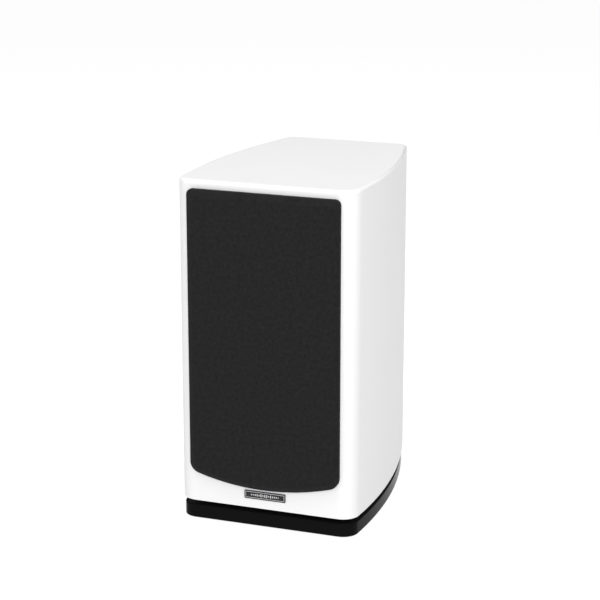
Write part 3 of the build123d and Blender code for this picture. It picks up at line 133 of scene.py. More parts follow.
def make_sky():
    """Studio dome: brightest overhead and a little to the front, black at the horizon behind."""
    world = bpy.data.worlds.new("studio")
    world.use_nodes = True
    tree = world.node_tree
    background = tree.nodes["Background"]
    background.inputs["Color"].default_value = (1, 1, 1, 1)
    coordinates = tree.nodes.new("ShaderNodeTexCoord")
    facing = tree.nodes.new("ShaderNodeVectorMath")
    facing.operation = "DOT_PRODUCT"
    facing.inputs[1].default_value = SKY_DIRECTION
    tree.links.new(coordinates.outputs["Generated"], facing.inputs[0])
    lit = math_node(tree, "MAXIMUM", facing.outputs["Value"], 0.0)
    tree.links.new(math_node(tree, "MULTIPLY", lit, SKY_STRENGTH), background.inputs["Strength"])
    return world


def make_stage():
    """Pale floor that glows like a light table, under the dome and the soft lamps."""
    half = FLOOR_HALF
    mesh = bpy.data.meshes.new("floor")
    corners = [(-half, -half, 0), (half, -half, 0), (half, half, 0), (-half, half, 0)]
    mesh.from_pydata(corners, [], [(0, 1, 2, 3)])
    floor = bpy.data.objects.new("floor", mesh)
    bpy.context.scene.collection.objects.link(floor)
    material = bpy.data.materials.new("floor_paper")
    material.use_nodes = True
    shader = material.node_tree.nodes["Principled BSDF"]
    shader.inputs["Base Color"].default_value = (FLOOR_ALBEDO, FLOOR_ALBEDO, FLOOR_ALBEDO, 1)
    shader.inputs["Roughness"].default_value = FLOOR_ROUGHNESS
    shader.inputs["Specular IOR Level"].default_value = 0.0
    shader.inputs["Emission Color"].default_value = (1, 1, 1, 1)
    shader.inputs["Emission Strength"].default_value = FLOOR_GLOW
    mesh.materials.append(material)
    bpy.context.scene.world = make_sky()
    for lamp in LAMPS:
        make_lamp(*lamp)
    bpy.context.scene.view_settings.view_transform = "Standard"


# ---------------------------------------------------------------- node helpers
def feed(tree, socket, value):
    """Sets a socket to a number, or links another socket to it."""
    if isinstance(value, (int, float)):
        socket.default_value = value
    else:
        tree.links.new(value, socket)


def math_node(tree, operation, first, second=0.0):
    """One arithmetic step on numbers or sockets."""
    node = tree.nodes.new("ShaderNodeMath")
    node.operation = operation
    feed(tree, node.inputs[0], first)
    feed(tree, node.inputs[1], second)
    return node.outputs[0]


def ranged(tree, value, low, high):
    """A value from 0 to 1, remapped to low to high."""
    node = tree.nodes.new("ShaderNodeMapRange")
    node.inputs["To Min"].default_value = low
    node.inputs["To Max"].default_value = high
    tree.links.new(value, node.inputs["Value"])
    return node.outputs["Result"]


def ramped(tree, value, low, high, start=0.3, stop=0.7):
    """Colour ramp from low to high over a value."""
    node = tree.nodes.new("ShaderNodeValToRGB")
    node.color_ramp.elements[0].position = start
    node.color_ramp.elements[0].color = (*low, 1)
    node.color_ramp.elements[1].position = stop
    node.color_ramp.elements[1].color = (*high, 1)
    tree.links.new(value, node.inputs["Fac"])
    return node.outputs["Color"]


def mixed(tree, share, first, second):
    """Blend of two colour sockets by a share from 0 to 1."""
    node = tree.nodes.new("ShaderNodeMix")
    node.data_type = "RGBA"
    feed(tree, node.inputs[0], share)
    tree.links.new(first, node.inputs[6])
    tree.links.new(second, node.inputs[7])
    return node.outputs[2]


def stretched(tree, vector, scale):
    """Coordinates scaled differently along X, Y and Z."""
    node = tree.nodes.new("ShaderNodeVectorMath")
    node.operation = "MULTIPLY"
    node.inputs[1].default_value = scale
    tree.links.new(vector, node.inputs[0])
    return node.outputs["Vector"]


def noisy(tree, vector, size, detail=3.0):
    """Noise with features of a given size in metres, averaging a half."""
    node = tree.nodes.new("ShaderNodeTexNoise")
    node.inputs["Scale"].default_value = 1.0 / size
    node.inputs["Detail"].default_value = detail
    tree.links.new(vector, node.inputs["Vector"])
    return node.outputs["Fac"]


def cells(tree, vector, size, feature="F1"):
    """Voronoi distance over cells of a given size in metres."""
    node = tree.nodes.new("ShaderNodeTexVoronoi")
    node.feature = feature
    node.inputs["Scale"].default_value = 1.0 / size
    tree.links.new(vector, node.inputs["Vector"])
    return node.outputs["Distance"]


def split(tree, vector):
    """The X, Y and Z of a vector."""
    node = tree.nodes.new("ShaderNodeSeparateXYZ")
    tree.links.new(vector, node.inputs[0])
    return node.outputs


def wave(tree, along, pitch):
    """Sine from -1 to 1 that repeats each pitch along a coordinate."""
    return math_node(tree, "SINE", math_node(tree, "MULTIPLY", along, 2 * math.pi / pitch))


def ridges(tree, along, pitch):
    """Ridges from 0 to 1 that repeat each pitch along a coordinate."""
    return ranged(tree, math_node(tree, "ABSOLUTE", wave(tree, along, 2 * pitch)), 0.0, 1.0)


def weave(tree, across, along, pitch):
    """Plain weave from 0 to 1: threads that pass over and under each other in turn."""
    crossing = math_node(tree, "MULTIPLY", wave(tree, across, pitch), wave(tree, along, pitch))
    return math_node(tree, "ADD", math_node(tree, "MULTIPLY", crossing, 0.5), 0.5)


def radius_from(tree, vector, centre):
    """Distance from a driver's axis."""
    x, _, z = split(tree, vector)
    across = math_node(tree, "POWER", math_node(tree, "SUBTRACT", x, centre.x), 2.0)
    up = math_node(tree, "POWER", math_node(tree, "SUBTRACT", z, centre.z), 2.0)
    return math_node(tree, "SQRT", math_node(tree, "ADD", across, up))


def bumped(tree, shader, height, distance, strength=1.0):
    """Bump from a height of 0 to 1 that stands for a distance in metres."""
    node = tree.nodes.new("ShaderNodeBump")
    node.inputs["Strength"].default_value = strength
    node.inputs["Distance"].default_value = distance
    tree.links.new(height, node.inputs["Height"])
    tree.links.new(node.outputs["Normal"], shader.inputs["Normal"])


def darker(colour, factor):
    """A colour scaled by a factor."""
    return tuple(min(channel * factor, 1.0) for channel in colour)


def new_material(name, metallic=0.0, specular=0.5):
    """Empty node material: itself, its tree, its shader and its object coordinates in metres."""
    material = bpy.data.materials.new(name)
    material.use_nodes = True
    tree = material.node_tree
    shader = tree.nodes["Principled BSDF"]
    shader.inputs["Metallic"].default_value = metallic
    shader.inputs["Specular IOR Level"].default_value = specular
    coordinates = tree.nodes.new("ShaderNodeTexCoord")
    return material, tree, shader, coordinates.outputs["Object"]


def coloured(tree, shader, value, low, high, start=0.3, stop=0.7):
    """Base colour ramped over a value."""
    tree.links.new(ramped(tree, value, low, high, start, stop), shader.inputs["Base Color"])


def roughened(tree, shader, value, low, high):
    """Roughness that varies with a value."""
    tree.links.new(ranged(tree, value, low, high), shader.inputs["Roughness"])


# ---------------------------------------------------------------- materials
def lacquer():
    """White sprayed lacquer, rubbed flat: a faint orange peel and soft gloss."""
    material, tree, shader, vector = new_material("lacquer", specular=0.08)
    broad = noisy(tree, vector, 0.05, 2.0)
    coloured(tree, shader, broad, (0.798, 0.799, 0.798), (0.806, 0.806, 0.804))
    roughened(tree, shader, noisy(tree, vector, 0.012), 0.29, 0.36)
    bumped(tree, shader, noisy(tree, vector, 0.006, 1.0), 0.000006)
    return material


def mdf():
    """Bare fibreboard: fine fibres, darker flecks and a dusty surface."""
    material, tree, shader, vector = new_material("mdf", specular=0.2)
    fibres = noisy(tree, stretched(tree, vector, (1.0, 1.0, 4.0)), 0.0012, 6.0)
    flecks = cells(tree, vector, 0.0016)
    base = ramped(tree, fibres, (0.30, 0.20, 0.115), (0.46, 0.33, 0.21))
    fleck = ramped(tree, flecks, (0.16, 0.10, 0.06), (0.42, 0.30, 0.19), 0.05, 0.3)
    tree.links.new(mixed(tree, 0.35, base, fleck), shader.inputs["Base Color"])
    roughened(tree, shader, fibres, 0.75, 0.95)
    bumped(tree, shader, fibres, 0.00015)
    return material


def wadding():
    """Polyester wadding: tangled white fibres with shadowed hollows."""
    material, tree, shader, vector = new_material("wadding", specular=0.1)
    tangle = noisy(tree, stretched(tree, vector, (1.0, 0.35, 1.0)), 0.0016, 8.0)
    lumps = noisy(tree, vector, 0.02, 3.0)
    shadow = math_node(tree, "MULTIPLY", tangle, lumps)
    coloured(tree, shader, shadow, (0.42, 0.42, 0.40), (0.86, 0.86, 0.83), 0.1, 0.35)
    roughened(tree, shader, tangle, 0.9, 1.0)
    shader.inputs["Sheen Weight"].default_value = 0.5
    shader.inputs["Sheen Roughness"].default_value = 0.6
    bumped(tree, shader, tangle, 0.0012)
    return material


def black_plastic():
    """Moulded black plastic with a fine spark-eroded grain."""
    material, tree, shader, vector = new_material("black_plastic")
    grain = cells(tree, vector, 0.00045)
    cloud = noisy(tree, vector, 0.02, 2.0)
    coloured(tree, shader, cloud, (0.013, 0.013, 0.014), (0.020, 0.020, 0.021))
    roughened(tree, shader, cloud, 0.38, 0.52)
    bumped(tree, shader, grain, 0.00005)
    return material


def plinth_gloss():
    """Black lacquered base board: smooth coat, hairline rubbing marks and specks of dust."""
    material, tree, shader, vector = new_material("plinth_gloss", specular=0.02)
    rubbing = noisy(tree, stretched(tree, vector, (0.25, 1.0, 6.0)), 0.004, 5.0)
    dust = cells(tree, vector, 0.0035)
    speck = ramped(tree, dust, (0.03, 0.03, 0.03), (0.005, 0.005, 0.0055), 0.02, 0.06)
    tree.links.new(speck, shader.inputs["Base Color"])
    roughened(tree, shader, rubbing, 0.10, 0.22)
    bumped(tree, shader, noisy(tree, vector, 0.0025, 2.0), 0.00001)
    return material


def screw_steel():
    """Blackened steel, rubbed through to brighter metal in patches."""
    material, tree, shader, vector = new_material("screw_steel", metallic=0.9)
    wear = noisy(tree, vector, 0.0015, 5.0)
    coloured(tree, shader, wear, (0.025, 0.025, 0.028), (0.16, 0.155, 0.15), 0.45, 0.75)
    roughened(tree, shader, wear, 0.35, 0.55)
    bumped(tree, shader, wear, 0.00004)
    return material


def rubber():
    """Matt black rubber with a dusty bloom."""
    material, tree, shader, vector = new_material("rubber", specular=0.3)
    bloom = noisy(tree, vector, 0.006, 4.0)
    coloured(tree, shader, bloom, (0.012, 0.012, 0.0125), (0.028, 0.028, 0.027))
    roughened(tree, shader, bloom, 0.6, 0.85)
    bumped(tree, shader, cells(tree, vector, 0.0006), 0.00003)
    return material


KNIT_PITCH = 0.0011
CLOTH_SHADOW = (0.0065, 0.0065, 0.007)
CLOTH_THREAD = (0.0155, 0.0155, 0.0165)


def grille_cloth():
    """Black acoustic cloth: a fine mesh of threads, uneven dye and a trace of sheen."""
    material, tree, shader, vector = new_material("grille_cloth", specular=0.12)
    x, y, z = split(tree, vector)
    across = math_node(tree, "ADD", x, y)
    along = math_node(tree, "ADD", z, y)
    loops = weave(tree, across, along, KNIT_PITCH)
    uneven = noisy(tree, vector, 0.0035, 5.0)
    thread = ramped(tree, loops, CLOTH_SHADOW, CLOTH_THREAD, 0.1, 0.9)
    dye = ramped(tree, uneven, darker(CLOTH_THREAD, 0.55), darker(CLOTH_THREAD, 1.35))
    tree.links.new(mixed(tree, 0.5, thread, dye), shader.inputs["Base Color"])
    roughened(tree, shader, uneven, 0.85, 1.0)
    shader.inputs["Sheen Weight"].default_value = 0.02
    shader.inputs["Sheen Roughness"].default_value = 0.5
    bumped(tree, shader, loops, 0.00022, 0.6)
    return material


def badge():
    """Dark satin metal, brushed lengthways."""
    material, tree, shader, vector = new_material("badge", metallic=0.3, specular=0.25)
    brushing = noisy(tree, stretched(tree, vector, (1.0, 1.0, 30.0)), 0.006, 5.0)
    coloured(tree, shader, brushing, (0.016, 0.016, 0.017), (0.036, 0.036, 0.038))
    roughened(tree, shader, brushing, 0.34, 0.5)
    bumped(tree, shader, brushing, 0.00001)
    return material


def badge_line():
    """Bright satin silver."""
    material, tree, shader, vector = new_material("badge_line", metallic=0.5)
    grain = noisy(tree, vector, 0.0006, 4.0)
    coloured(tree, shader, grain, (0.62, 0.63, 0.64), (0.78, 0.79, 0.80))
    roughened(tree, shader, grain, 0.35, 0.5)
    bumped(tree, shader, grain, 0.00001)
    return material


def cast_metal():
    """Powder-coated casting: pebbled black coat."""
    material, tree, shader, vector = new_material("cast_metal")
    pebbles = cells(tree, vector, 0.0012, "SMOOTH_F1")
    cloud = noisy(tree, vector, 0.01, 3.0)
    coloured(tree, shader, cloud, (0.022, 0.022, 0.024), (0.036, 0.036, 0.038))
    roughened(tree, shader, cloud, 0.45, 0.6)
    bumped(tree, shader, pebbles, 0.00012)
    return material


def cone():
    """Woven composite cone: dark diagonal cloth under a clear resin."""
    material, tree, shader, vector = new_material("cone")
    x, _, z = split(tree, vector)
    cloth = weave(tree, math_node(tree, "ADD", x, z), math_node(tree, "SUBTRACT", x, z), 0.0052)
    threads = ridges(tree, math_node(tree, "ADD", x, z), 0.0005)
    coloured(tree, shader, cloth, (0.016, 0.016, 0.018), (0.055, 0.055, 0.06), 0.25, 0.75)
    roughened(tree, shader, threads, 0.3, 0.5)
    shader.inputs["Coat Weight"].default_value = 0.25
    shader.inputs["Coat Roughness"].default_value = 0.25
    bumped(tree, shader, cloth, 0.00018)
    return material


def aluminium():
    """Rolled foil, finely scored round the former."""
    material, tree, shader, vector = new_material("aluminium", metallic=1.0)
    score = noisy(tree, stretched(tree, vector, (0.3, 20.0, 0.3)), 0.004, 4.0)
    coloured(tree, shader, score, (0.66, 0.67, 0.68), (0.82, 0.82, 0.83))
    roughened(tree, shader, score, 0.22, 0.42)
    bumped(tree, shader, score, 0.00001)
    return material


def copper():
    """Close-wound enamelled wire: each turn a rounded ridge with its own tint, and painted shade darkening
    the grooves between turns.
    """
    material, tree, shader, vector = new_material("copper", metallic=1.0)
    _, y, _ = split(tree, vector)
    turns = ridges(tree, y, 0.0007)
    tint = noisy(tree, stretched(tree, vector, (0.2, 8.0, 0.2)), 0.008, 3.0)
    # Painted shade: the ramp goes dark in the grooves between the turns of wire.
    groove_shade_colour = ramped(tree, turns, (0.16, 0.05, 0.02), (0.72, 0.31, 0.12), 0.1, 0.6)
    tint_colour = ramped(tree, tint, (0.45, 0.17, 0.06), (0.80, 0.38, 0.17))
    tree.links.new(mixed(tree, 0.35, groove_shade_colour, tint_colour), shader.inputs["Base Color"])
    roughened(tree, shader, tint, 0.2, 0.35)
    bumped(tree, shader, turns, 0.0003)
    return material


def spider_cloth():
    """Resin-dipped cotton: an open yellow weave."""
    material, tree, shader, vector = new_material("spider_cloth", specular=0.3)
    x, _, z = split(tree, vector)
    cloth = weave(tree, x, z, 0.0012)
    stain = noisy(tree, vector, 0.012, 3.0)
    cloth_colour = ramped(tree, cloth, (0.30, 0.17, 0.05), (0.70, 0.48, 0.18), 0.15, 0.85)
    stain_colour = ramped(tree, stain, (0.42, 0.26, 0.08), (0.66, 0.44, 0.17))
    tree.links.new(mixed(tree, 0.4, cloth_colour, stain_colour), shader.inputs["Base Color"])
    roughened(tree, shader, stain, 0.6, 0.8)
    bumped(tree, shader, cloth, 0.0002)
    return material


def plated_steel():
    """Zinc-plated steel: lathe marks round the woofer's axis and a pale yellow passivated bloom."""
    material, tree, shader, vector = new_material("plated_steel", metallic=1.0)
    lathe = wave(tree, radius_from(tree, vector, WOOFER_CENTRE), 0.0009)
    bloom = noisy(tree, vector, 0.01, 4.0)
    coloured(tree, shader, bloom, (0.50, 0.47, 0.38), (0.64, 0.63, 0.60))
    roughened(tree, shader, bloom, 0.28, 0.42)
    bumped(tree, shader, ranged(tree, lathe, 0.0, 1.0), 0.00001)
    return material


def ferrite():
    """Sintered ferrite: dark grey with pits and pale chips."""
    material, tree, shader, vector = new_material("ferrite", specular=0.4)
    pits = cells(tree, vector, 0.0018)
    speckle = noisy(tree, vector, 0.001, 6.0)
    coloured(tree, shader, speckle, (0.045, 0.045, 0.048), (0.10, 0.10, 0.105))
    roughened(tree, shader, speckle, 0.45, 0.7)
    bumped(tree, shader, pits, 0.0001)
    return material


def brass():
    """Gold-plated brass, turned: bright rings and soft smears."""
    material, tree, shader, vector = new_material("brass", metallic=1.0)
    _, y, _ = split(tree, vector)
    rings = ridges(tree, y, 0.0005)
    smear = noisy(tree, vector, 0.004, 4.0)
    coloured(tree, shader, smear, (0.66, 0.46, 0.15), (0.86, 0.66, 0.28))
    roughened(tree, shader, smear, 0.16, 0.32)
    bumped(tree, shader, rings, 0.00003)
    return material


def dome_cloth():
    """Coated silk: very fine weave under a rubbery dressing."""
    material, tree, shader, vector = new_material("dome_cloth", specular=0.4)
    x, _, z = split(tree, vector)
    silk = weave(tree, x, z, 0.0005)
    dressing = noisy(tree, vector, 0.003, 3.0)
    coloured(tree, shader, dressing, (0.012, 0.012, 0.013), (0.024, 0.024, 0.026))
    roughened(tree, shader, dressing, 0.4, 0.65)
    bumped(tree, shader, silk, 0.00004)
    return material


TRACK_PITCH = 0.004
TRACK_EDGE = 0.35


def board():
    """Circuit board: green solder mask over copper tracks that run one way or the other by cell."""
    material, tree, shader, vector = new_material("board")
    x, _, z = split(tree, vector)
    chooser = tree.nodes.new("ShaderNodeTexVoronoi")
    chooser.distance = "CHEBYCHEV"
    chooser.inputs["Scale"].default_value = 60.0
    chooser.inputs["Randomness"].default_value = 0.4
    tree.links.new(vector, chooser.inputs["Vector"])
    pick = math_node(tree, "GREATER_THAN", split(tree, chooser.outputs["Position"])[0], 0.0)
    upright = math_node(tree, "GREATER_THAN", wave(tree, x, TRACK_PITCH), TRACK_EDGE)
    level = math_node(tree, "GREATER_THAN", wave(tree, z, TRACK_PITCH), TRACK_EDGE)
    chosen = math_node(
        tree,
        "ADD",
        math_node(tree, "MULTIPLY", upright, pick),
        math_node(tree, "MULTIPLY", level, math_node(tree, "SUBTRACT", 1.0, pick)),
    )
    glass = noisy(tree, vector, 0.001, 3.0)
    mask = ramped(tree, chosen, (0.008, 0.065, 0.022), (0.03, 0.14, 0.045), 0.2, 0.8)
    fibre = ramped(tree, glass, (0.008, 0.06, 0.02), (0.02, 0.10, 0.035))
    tree.links.new(mixed(tree, 0.3, mask, fibre), shader.inputs["Base Color"])
    roughened(tree, shader, glass, 0.25, 0.4)
    bumped(tree, shader, chosen, 0.00008)
    return material


CAPACITOR_MIDDLE_SHIFT = 0.002
CAPACITOR_SLEEVE_HALF = 0.0138


def capacitor():
    """Film capacitor: yellow wrapped sleeve with tan resin at each end."""
    material, tree, shader, vector = new_material("capacitor")
    x, _, _ = split(tree, vector)
    _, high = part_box("crossover_capacitors")
    middle = high.x / 2 + CAPACITOR_MIDDLE_SHIFT
    past_middle = math_node(tree, "SUBTRACT", math_node(tree, "ABSOLUTE", x), middle)
    from_middle = math_node(tree, "ABSOLUTE", past_middle)
    at_end = math_node(tree, "GREATER_THAN", from_middle, CAPACITOR_SLEEVE_HALF)
    wrap = noisy(tree, stretched(tree, vector, (6.0, 1.0, 1.0)), 0.004, 4.0)
    sleeve = ramped(tree, wrap, (0.56, 0.38, 0.03), (0.70, 0.50, 0.06))
    resin = ramped(tree, wrap, (0.30, 0.17, 0.06), (0.42, 0.26, 0.11))
    tree.links.new(mixed(tree, at_end, sleeve, resin), shader.inputs["Base Color"])
    roughened(tree, shader, wrap, 0.22, 0.38)
    bumped(tree, shader, wrap, 0.00003)
    return material


def ceramic():
    """Cement resistor body: chalky white with pits."""
    material, tree, shader, vector = new_material("ceramic", specular=0.2)
    chalk = noisy(tree, vector, 0.002, 6.0)
    coloured(tree, shader, chalk, (0.60, 0.59, 0.55), (0.80, 0.79, 0.75))
    roughened(tree, shader, chalk, 0.75, 0.95)
    bumped(tree, shader, cells(tree, vector, 0.0011), 0.0001)
    return material


def moulded(name, colour, roughness):
    """Glossy moulded or extruded plastic with flow marks and small scuffs."""
    material, tree, shader, vector = new_material(name)
    flow = noisy(tree, stretched(tree, vector, (1.0, 0.4, 1.0)), 0.006, 3.0)
    scuffs = noisy(tree, stretched(tree, vector, (6.0, 1.0, 1.0)), 0.003, 6.0)
    coloured(tree, shader, flow, darker(colour, 0.85), darker(colour, 1.12))
    roughened(tree, shader, scuffs, roughness * 0.75, roughness * 1.3)
    bumped(tree, shader, scuffs, 0.00001)
    return material


MATERIALS = {
    "lacquer": lacquer(),
    "mdf": mdf(),
    "wadding": wadding(),
    "black_plastic": black_plastic(),
    "plinth_gloss": plinth_gloss(),
    "screw_steel": screw_steel(),
    "rubber": rubber(),
    "grille_cloth": grille_cloth(),
    "badge": badge(),
    "badge_line": badge_line(),
    "cast_metal": cast_metal(),
    "cone": cone(),
    "aluminium": aluminium(),
    "copper": copper(),
    "spider_cloth": spider_cloth(),
    "plated_steel": plated_steel(),
    "ferrite": ferrite(),
    "brass": brass(),
    "dome_cloth": dome_cloth(),
    "board": board(),
    "capacitor": capacitor(),
    "ceramic": ceramic(),
    "red_plastic": moulded("red_plastic", (0.42, 0.012, 0.012), 0.3),
    "red_lead": moulded("red_lead", (0.40, 0.02, 0.02), 0.4),
    "black_lead": moulded("black_lead", (0.018, 0.018, 0.018), 0.4),
}


def dress_cad_nodes():
    """Gives each CAD node the material of its slot."""
    for name, node in NODES.items():
        node.data.materials.clear()
        node.data.materials.append(MATERIALS[SLOT_OF[name]])


# ---------------------------------------------------------------- mesh helpers
def make_piece(name, points, faces, slot_name):
    """Smooth mesh piece with the material of a slot."""
    mesh = bpy.data.meshes.new(name)
    mesh.from_pydata(points, [], faces)
    mesh.materials.append(MATERIALS[slot_name])
    mesh.shade_smooth()
    piece = bpy.data.objects.new(name, mesh)
    bpy.context.scene.collection.objects.link(piece)
    return piece


def outward_normals(piece):
    """Turns every face of a closed mesh outwards."""
    shape = bmesh.new()
    shape.from_mesh(piece.data)
    bmesh.ops.recalc_face_normals(shape, faces=shape.faces)
    shape.to_mesh(piece.data)
    shape.free()


def thickened(line, thickness):
    """Closed outline of a line of (radius, y) points, given thickness on both sides."""
    front = []
    back = []
    for index, point in enumerate(line):
        before = line[max(index - 1, 0)]
        after = line[min(index + 1, len(line) - 1)]
        along = (after - before).normalized()
        across = Vector((-along.y, along.x)) * thickness / 2
        front.append(point + across)
        back.append(point - across)
    return front + back[::-1]


def ring_faces(ring_count, size, closed):
    """Faces between rings of points that follow each other, and back to the first ring if closed."""
    faces = []
    for level in range(ring_count if closed else ring_count - 1):
        here = level * size
        following = (level + 1) % ring_count * size
        for index in range(size):
            beside = (index + 1) % size
            faces.append((here + index, here + beside, following + beside, following + index))
    return faces


SPIN_STEPS = 144


def spun(name, section, centre, slot_name):
    """Ring swept by a closed section of (radius, y) points round a driver's axis."""
    points = []
    for step in range(SPIN_STEPS):
        angle = 2 * math.pi * step / SPIN_STEPS
        for radius, y in section:
            points.append((centre.x + radius * math.cos(angle), y, centre.z + radius * math.sin(angle)))
    piece = make_piece(name, points, ring_faces(SPIN_STEPS, len(section), True), slot_name)
    outward_normals(piece)
    return piece


def suspend(piece, centre, fixed_radius, moving_radius):
    """Bakes a ring's placement into its mesh and works out, for each vertex, how far it lies from the outer
    lip (on the cabinet) towards the inner lip (on the moving body); the share is not applied, so the ring
    does not flex.
    """
    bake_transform(piece)
    for vertex in piece.data.vertices:
        radius = math.hypot(vertex.co.x - centre.x, vertex.co.z - centre.z)
        share = (fixed_radius - radius) / (fixed_radius - moving_radius)
        share = min(max(share, 0.0), 1.0)


# ---------------------------------------------------------------- surrounds and spider
def roll_line(centre_radius, roll_radius, base_y, inner_lip, outer_lip, steps=20):
    """Middle line of a half-roll surround: a flat lip, a half circle bulging forwards, a flat lip."""
    line = [Vector((inner_lip, base_y)), Vector(((inner_lip + centre_radius - roll_radius) / 2, base_y))]
    for step in range(steps + 1):
        angle = math.pi * step / steps
        radius = centre_radius - roll_radius * math.cos(angle)
        line.append(Vector((radius, base_y - roll_radius * math.sin(angle))))
    line.append(Vector(((outer_lip + centre_radius + roll_radius) / 2, base_y)))
    line.append(Vector((outer_lip, base_y)))
    return line


ROLL_CENTRE = 49.8 * MM
ROLL_RADIUS = 3.25 * MM
ROLL_THICKNESS = 0.7 * MM
WOOFER_LIP_INNER = 44.4 * MM


def make_woofer_surround():
    """Rubber half roll between the basket and the cone."""
    low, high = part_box("woofer_surround")
    base_y = high.y - ROLL_THICKNESS / 2
    line = roll_line(ROLL_CENTRE, ROLL_RADIUS, base_y, WOOFER_LIP_INNER, (high.x - low.x) / 2)
    piece = spun("woofer_surround_roll", thickened(line, ROLL_THICKNESS), WOOFER_CENTRE, "rubber")
    suspend(piece, WOOFER_CENTRE, ROLL_CENTRE + ROLL_RADIUS, ROLL_CENTRE - ROLL_RADIUS)
    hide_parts("woofer_surround")


SPIDER_COLLAR = 13.0 * MM
SPIDER_WAVE_START = 15.0 * MM
SPIDER_PITCH = 2.1 * MM
SPIDER_WAVES = 10
SPIDER_SWING = 0.8 * MM
SPIDER_THICKNESS = 0.5 * MM
SPIDER_STEPS = 8


def make_woofer_spider():
    """Corrugated cloth disc that centres the voice coil."""
    low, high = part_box("woofer_spider")
    middle_y = (low.y + high.y) / 2
    line = [Vector((SPIDER_COLLAR, middle_y))]
    for step in range(SPIDER_WAVES * SPIDER_STEPS + 1):
        along = step / SPIDER_STEPS
        radius = SPIDER_WAVE_START + along * SPIDER_PITCH
        line.append(Vector((radius, middle_y - SPIDER_SWING * math.sin(math.pi * along))))
    line.append(Vector(((high.x - low.x) / 2, middle_y)))
    piece = spun("woofer_spider_cloth", thickened(line, SPIDER_THICKNESS), WOOFER_CENTRE, "spider_cloth")
    wave_end = SPIDER_WAVE_START + SPIDER_WAVES * SPIDER_PITCH
    suspend(piece, WOOFER_CENTRE, wave_end, SPIDER_WAVE_START)
    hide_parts("woofer_spider")


DOME_ROLL_CENTRE = 14.5 * MM
DOME_ROLL_RADIUS = 1.7 * MM
DOME_ROLL_THICKNESS = 0.35 * MM


def make_tweeter_surround():
    """Small silk roll round the dome."""
    low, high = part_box("tweeter_surround")
    base_y = high.y - DOME_ROLL_THICKNESS / 2
    inner_lip = DOME_ROLL_CENTRE - DOME_ROLL_RADIUS - DOME_ROLL_THICKNESS / 2
    line = roll_line(DOME_ROLL_CENTRE, DOME_ROLL_RADIUS, base_y, inner_lip, (high.x - low.x) / 2, 14)
    piece = spun("tweeter_surround_roll", thickened(line, DOME_ROLL_THICKNESS), TWEETER_CENTRE, "dome_cloth")
    suspend(
        piece,
        TWEETER_CENTRE,
        DOME_ROLL_CENTRE + DOME_ROLL_RADIUS,
        DOME_ROLL_CENTRE - DOME_ROLL_RADIUS,
    )
    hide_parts("tweeter_surround")


# ---------------------------------------------------------------- grille cloth
GRILLE_LOW, GRILLE_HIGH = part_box("grille_cloth")
GRILLE_ARC = 245.0 * MM
GRILLE_TOP_CORNER = 5.5 * MM
GRILLE_BOTTOM_CORNER = 12.0 * MM
LEAST_TOP_CORNER = 1.0 * MM
LEAST_BOTTOM_CORNER = 5.0 * MM
BEVEL_WIDTH = 5.8 * MM
BEVEL_DEPTH = 3.5 * MM
BEVEL_SOFTNESS = 0.9 * MM
CLOTH_THICKNESS = 0.5 * MM
WINDOWS = [(WOOFER_CENTRE, 69.5 * MM), (TWEETER_CENTRE, 50.5 * MM)]
WINDOW_SAG = 0.15 * MM
FACE_RINGS = 26


def arc(centre, radius, start, stop, count):
    """Points along a circle between two angles, the last one left out."""
    points = []
    for step in range(count):
        angle = start + (stop - start) * step / count
        points.append((centre[0] + radius * math.cos(angle), centre[1] + radius * math.sin(angle)))
    return points


def run(start, stop, count):
    """Points along a straight run, the last one left out."""
    return [
        (start[0] + (stop[0] - start[0]) * step / count, start[1] + (stop[1] - start[1]) * step / count)
        for step in range(count)
    ]


def grille_ring(inset):
    """Front outline of the grille drawn in by inset: right half from the top down, then its mirror."""
    half = GRILLE_HIGH.x - inset
    top = GRILLE_HIGH.z - inset
    bottom = GRILLE_LOW.z + inset
    bow = GRILLE_ARC - inset
    top_corner = max(GRILLE_TOP_CORNER - inset, LEAST_TOP_CORNER)
    low_corner = max(GRILLE_BOTTOM_CORNER - inset, LEAST_BOTTOM_CORNER)
    bow_centre = bottom + bow
    corner_z = bow_centre - math.sqrt((bow - low_corner) ** 2 - (half - low_corner) ** 2)
    tangent = math.atan2(corner_z - bow_centre, half - low_corner)
    right = run((0, top), (half - top_corner, top), 18)
    right += arc((half - top_corner, top - top_corner), top_corner, math.pi / 2, 0, 6)
    right += run((half, top - top_corner), (half, corner_z), 44)
    right += arc((half - low_corner, corner_z), low_corner, 0, tangent, 10)
    right += arc((0, bow_centre), bow, tangent, -math.pi / 2, 18)
    left = [(-x, z) for x, z in right[1:]]
    return right + [(0, bottom)] + left[::-1]


def softened(corners, radius, steps=4):
    """Line of (inset, y) points with each inner corner rounded."""
    line = [corners[0]]
    for before, here, after in zip(corners, corners[1:], corners[2:]):
        start = here + (before - here).normalized() * radius
        end = here + (after - here).normalized() * radius
        for step in range(steps + 1):
            share = step / steps
            line.append(start.lerp(here, share).lerp(here.lerp(end, share), share))
    line.append(corners[-1])
    return line


def window_sag(x, z):
    """How far the cloth sinks between the frame's bars over the two driver windows."""
    sag = 0.0
    for centre, radius in WINDOWS:
        share = math.hypot(x - centre.x, z - centre.z) / radius
        if share < 1:
            sag += WINDOW_SAG * (1 - share * share) ** 2
    return sag


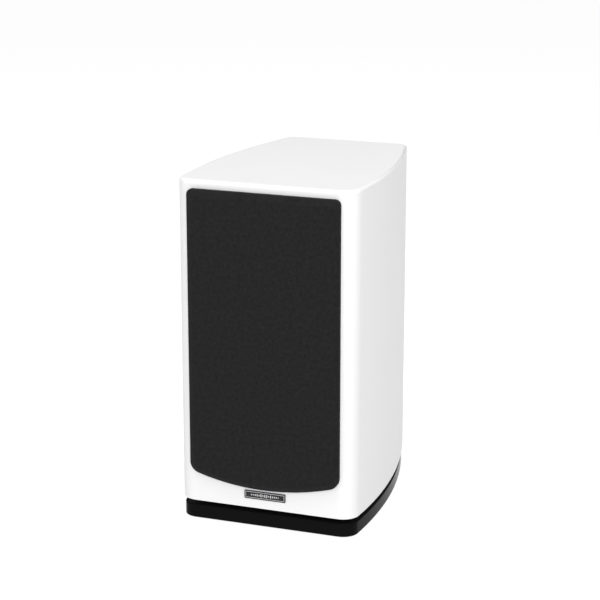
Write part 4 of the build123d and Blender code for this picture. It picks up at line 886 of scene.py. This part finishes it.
def make_grille_cloth():
    """Acoustic cloth stretched over the frame: up its side, over the bevel and flat across the front."""
    back_y = GRILLE_HIGH.y
    front_y = GRILLE_LOW.y
    edge_y = front_y + BEVEL_DEPTH
    face_start = BEVEL_WIDTH + 2 * BEVEL_SOFTNESS
    profile = [(0, back_y), (0, edge_y), (BEVEL_WIDTH, front_y), (face_start, front_y)]
    corners = [Vector(corner) for corner in profile]
    rings = [[(x, y, z) for x, z in grille_ring(inset)] for inset, y in softened(corners, BEVEL_SOFTNESS)]
    edge = grille_ring(face_start)
    spine_top = GRILLE_HIGH.z - GRILLE_HIGH.x
    spine_bottom = GRILLE_LOW.z + GRILLE_HIGH.x
    for step in range(1, FACE_RINGS + 1):
        share = step / FACE_RINGS
        ring = []
        for x, z in edge:
            spine_z = min(max(z, spine_bottom), spine_top)
            x_in = x * (1 - share)
            z_in = z + (spine_z - z) * share
            ring.append((x_in, front_y + window_sag(x_in, z_in), z_in))
        rings.append(ring)
    points = [point for ring in rings for point in ring]
    faces = ring_faces(len(rings), len(edge), False)
    piece = make_piece("grille_cloth_sheet", points, faces, "grille_cloth")
    shape = bmesh.new()
    shape.from_mesh(piece.data)
    bmesh.ops.remove_doubles(shape, verts=shape.verts, dist=0.00002)
    bmesh.ops.recalc_face_normals(shape, faces=shape.faces)
    middle = max(shape.faces, key=lambda face: face.calc_area())
    if middle.normal.y > 0:
        bmesh.ops.reverse_faces(shape, faces=shape.faces)
    shape.to_mesh(piece.data)
    shape.free()
    skin = piece.modifiers.new("thickness", "SOLIDIFY")
    skin.thickness = CLOTH_THICKNESS
    skin.offset = -1.0
    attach(piece, "grille")
    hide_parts("grille_cloth")
    outline = grille_ring(0)


# ---------------------------------------------------------------- wadding
WADDING_CUTS = 36
WADDING_SQUARENESS = 5.0
WADDING_LUMP = 6.0 * MM
WADDING_LUMP_SPACING = 25 * MM


def make_wadding():
    """Block of loose polyester wadding, lumpy and rounded, filling the space behind the tweeter."""
    low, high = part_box("damping_wadding")
    centre = (low + high) / 2
    half = (high - low) / 2
    shape = bmesh.new()
    bmesh.ops.create_cube(shape, size=2.0)
    bmesh.ops.subdivide_edges(shape, edges=shape.edges, cuts=WADDING_CUTS, use_grid_fill=True)
    for vertex in shape.verts:
        spread = sum(abs(axis) ** WADDING_SQUARENESS for axis in vertex.co) ** (1 / WADDING_SQUARENESS)
        outer = vertex.co / spread
        place = Vector((outer.x * half.x, outer.y * half.y, outer.z * half.z))
        lump = 0.5 + 0.5 * noise.fractal(place / WADDING_LUMP_SPACING, 1.0, 2.0, 4)
        lump = min(max(lump, 0.0), 1.0)
        vertex.co = centre + place - place.normalized() * WADDING_LUMP * lump
    mesh = bpy.data.meshes.new("wadding_block")
    shape.to_mesh(mesh)
    shape.free()
    mesh.materials.append(MATERIALS["wadding"])
    mesh.shade_smooth()
    piece = bpy.data.objects.new("wadding_block", mesh)
    bpy.context.scene.collection.objects.link(piece)
    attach(piece, "cabinet")
    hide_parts("damping_wadding")


make_camera()
make_stage()
dress_cad_nodes()
make_woofer_surround()
make_woofer_spider()
make_tweeter_surround()
make_grille_cloth()
make_wadding()
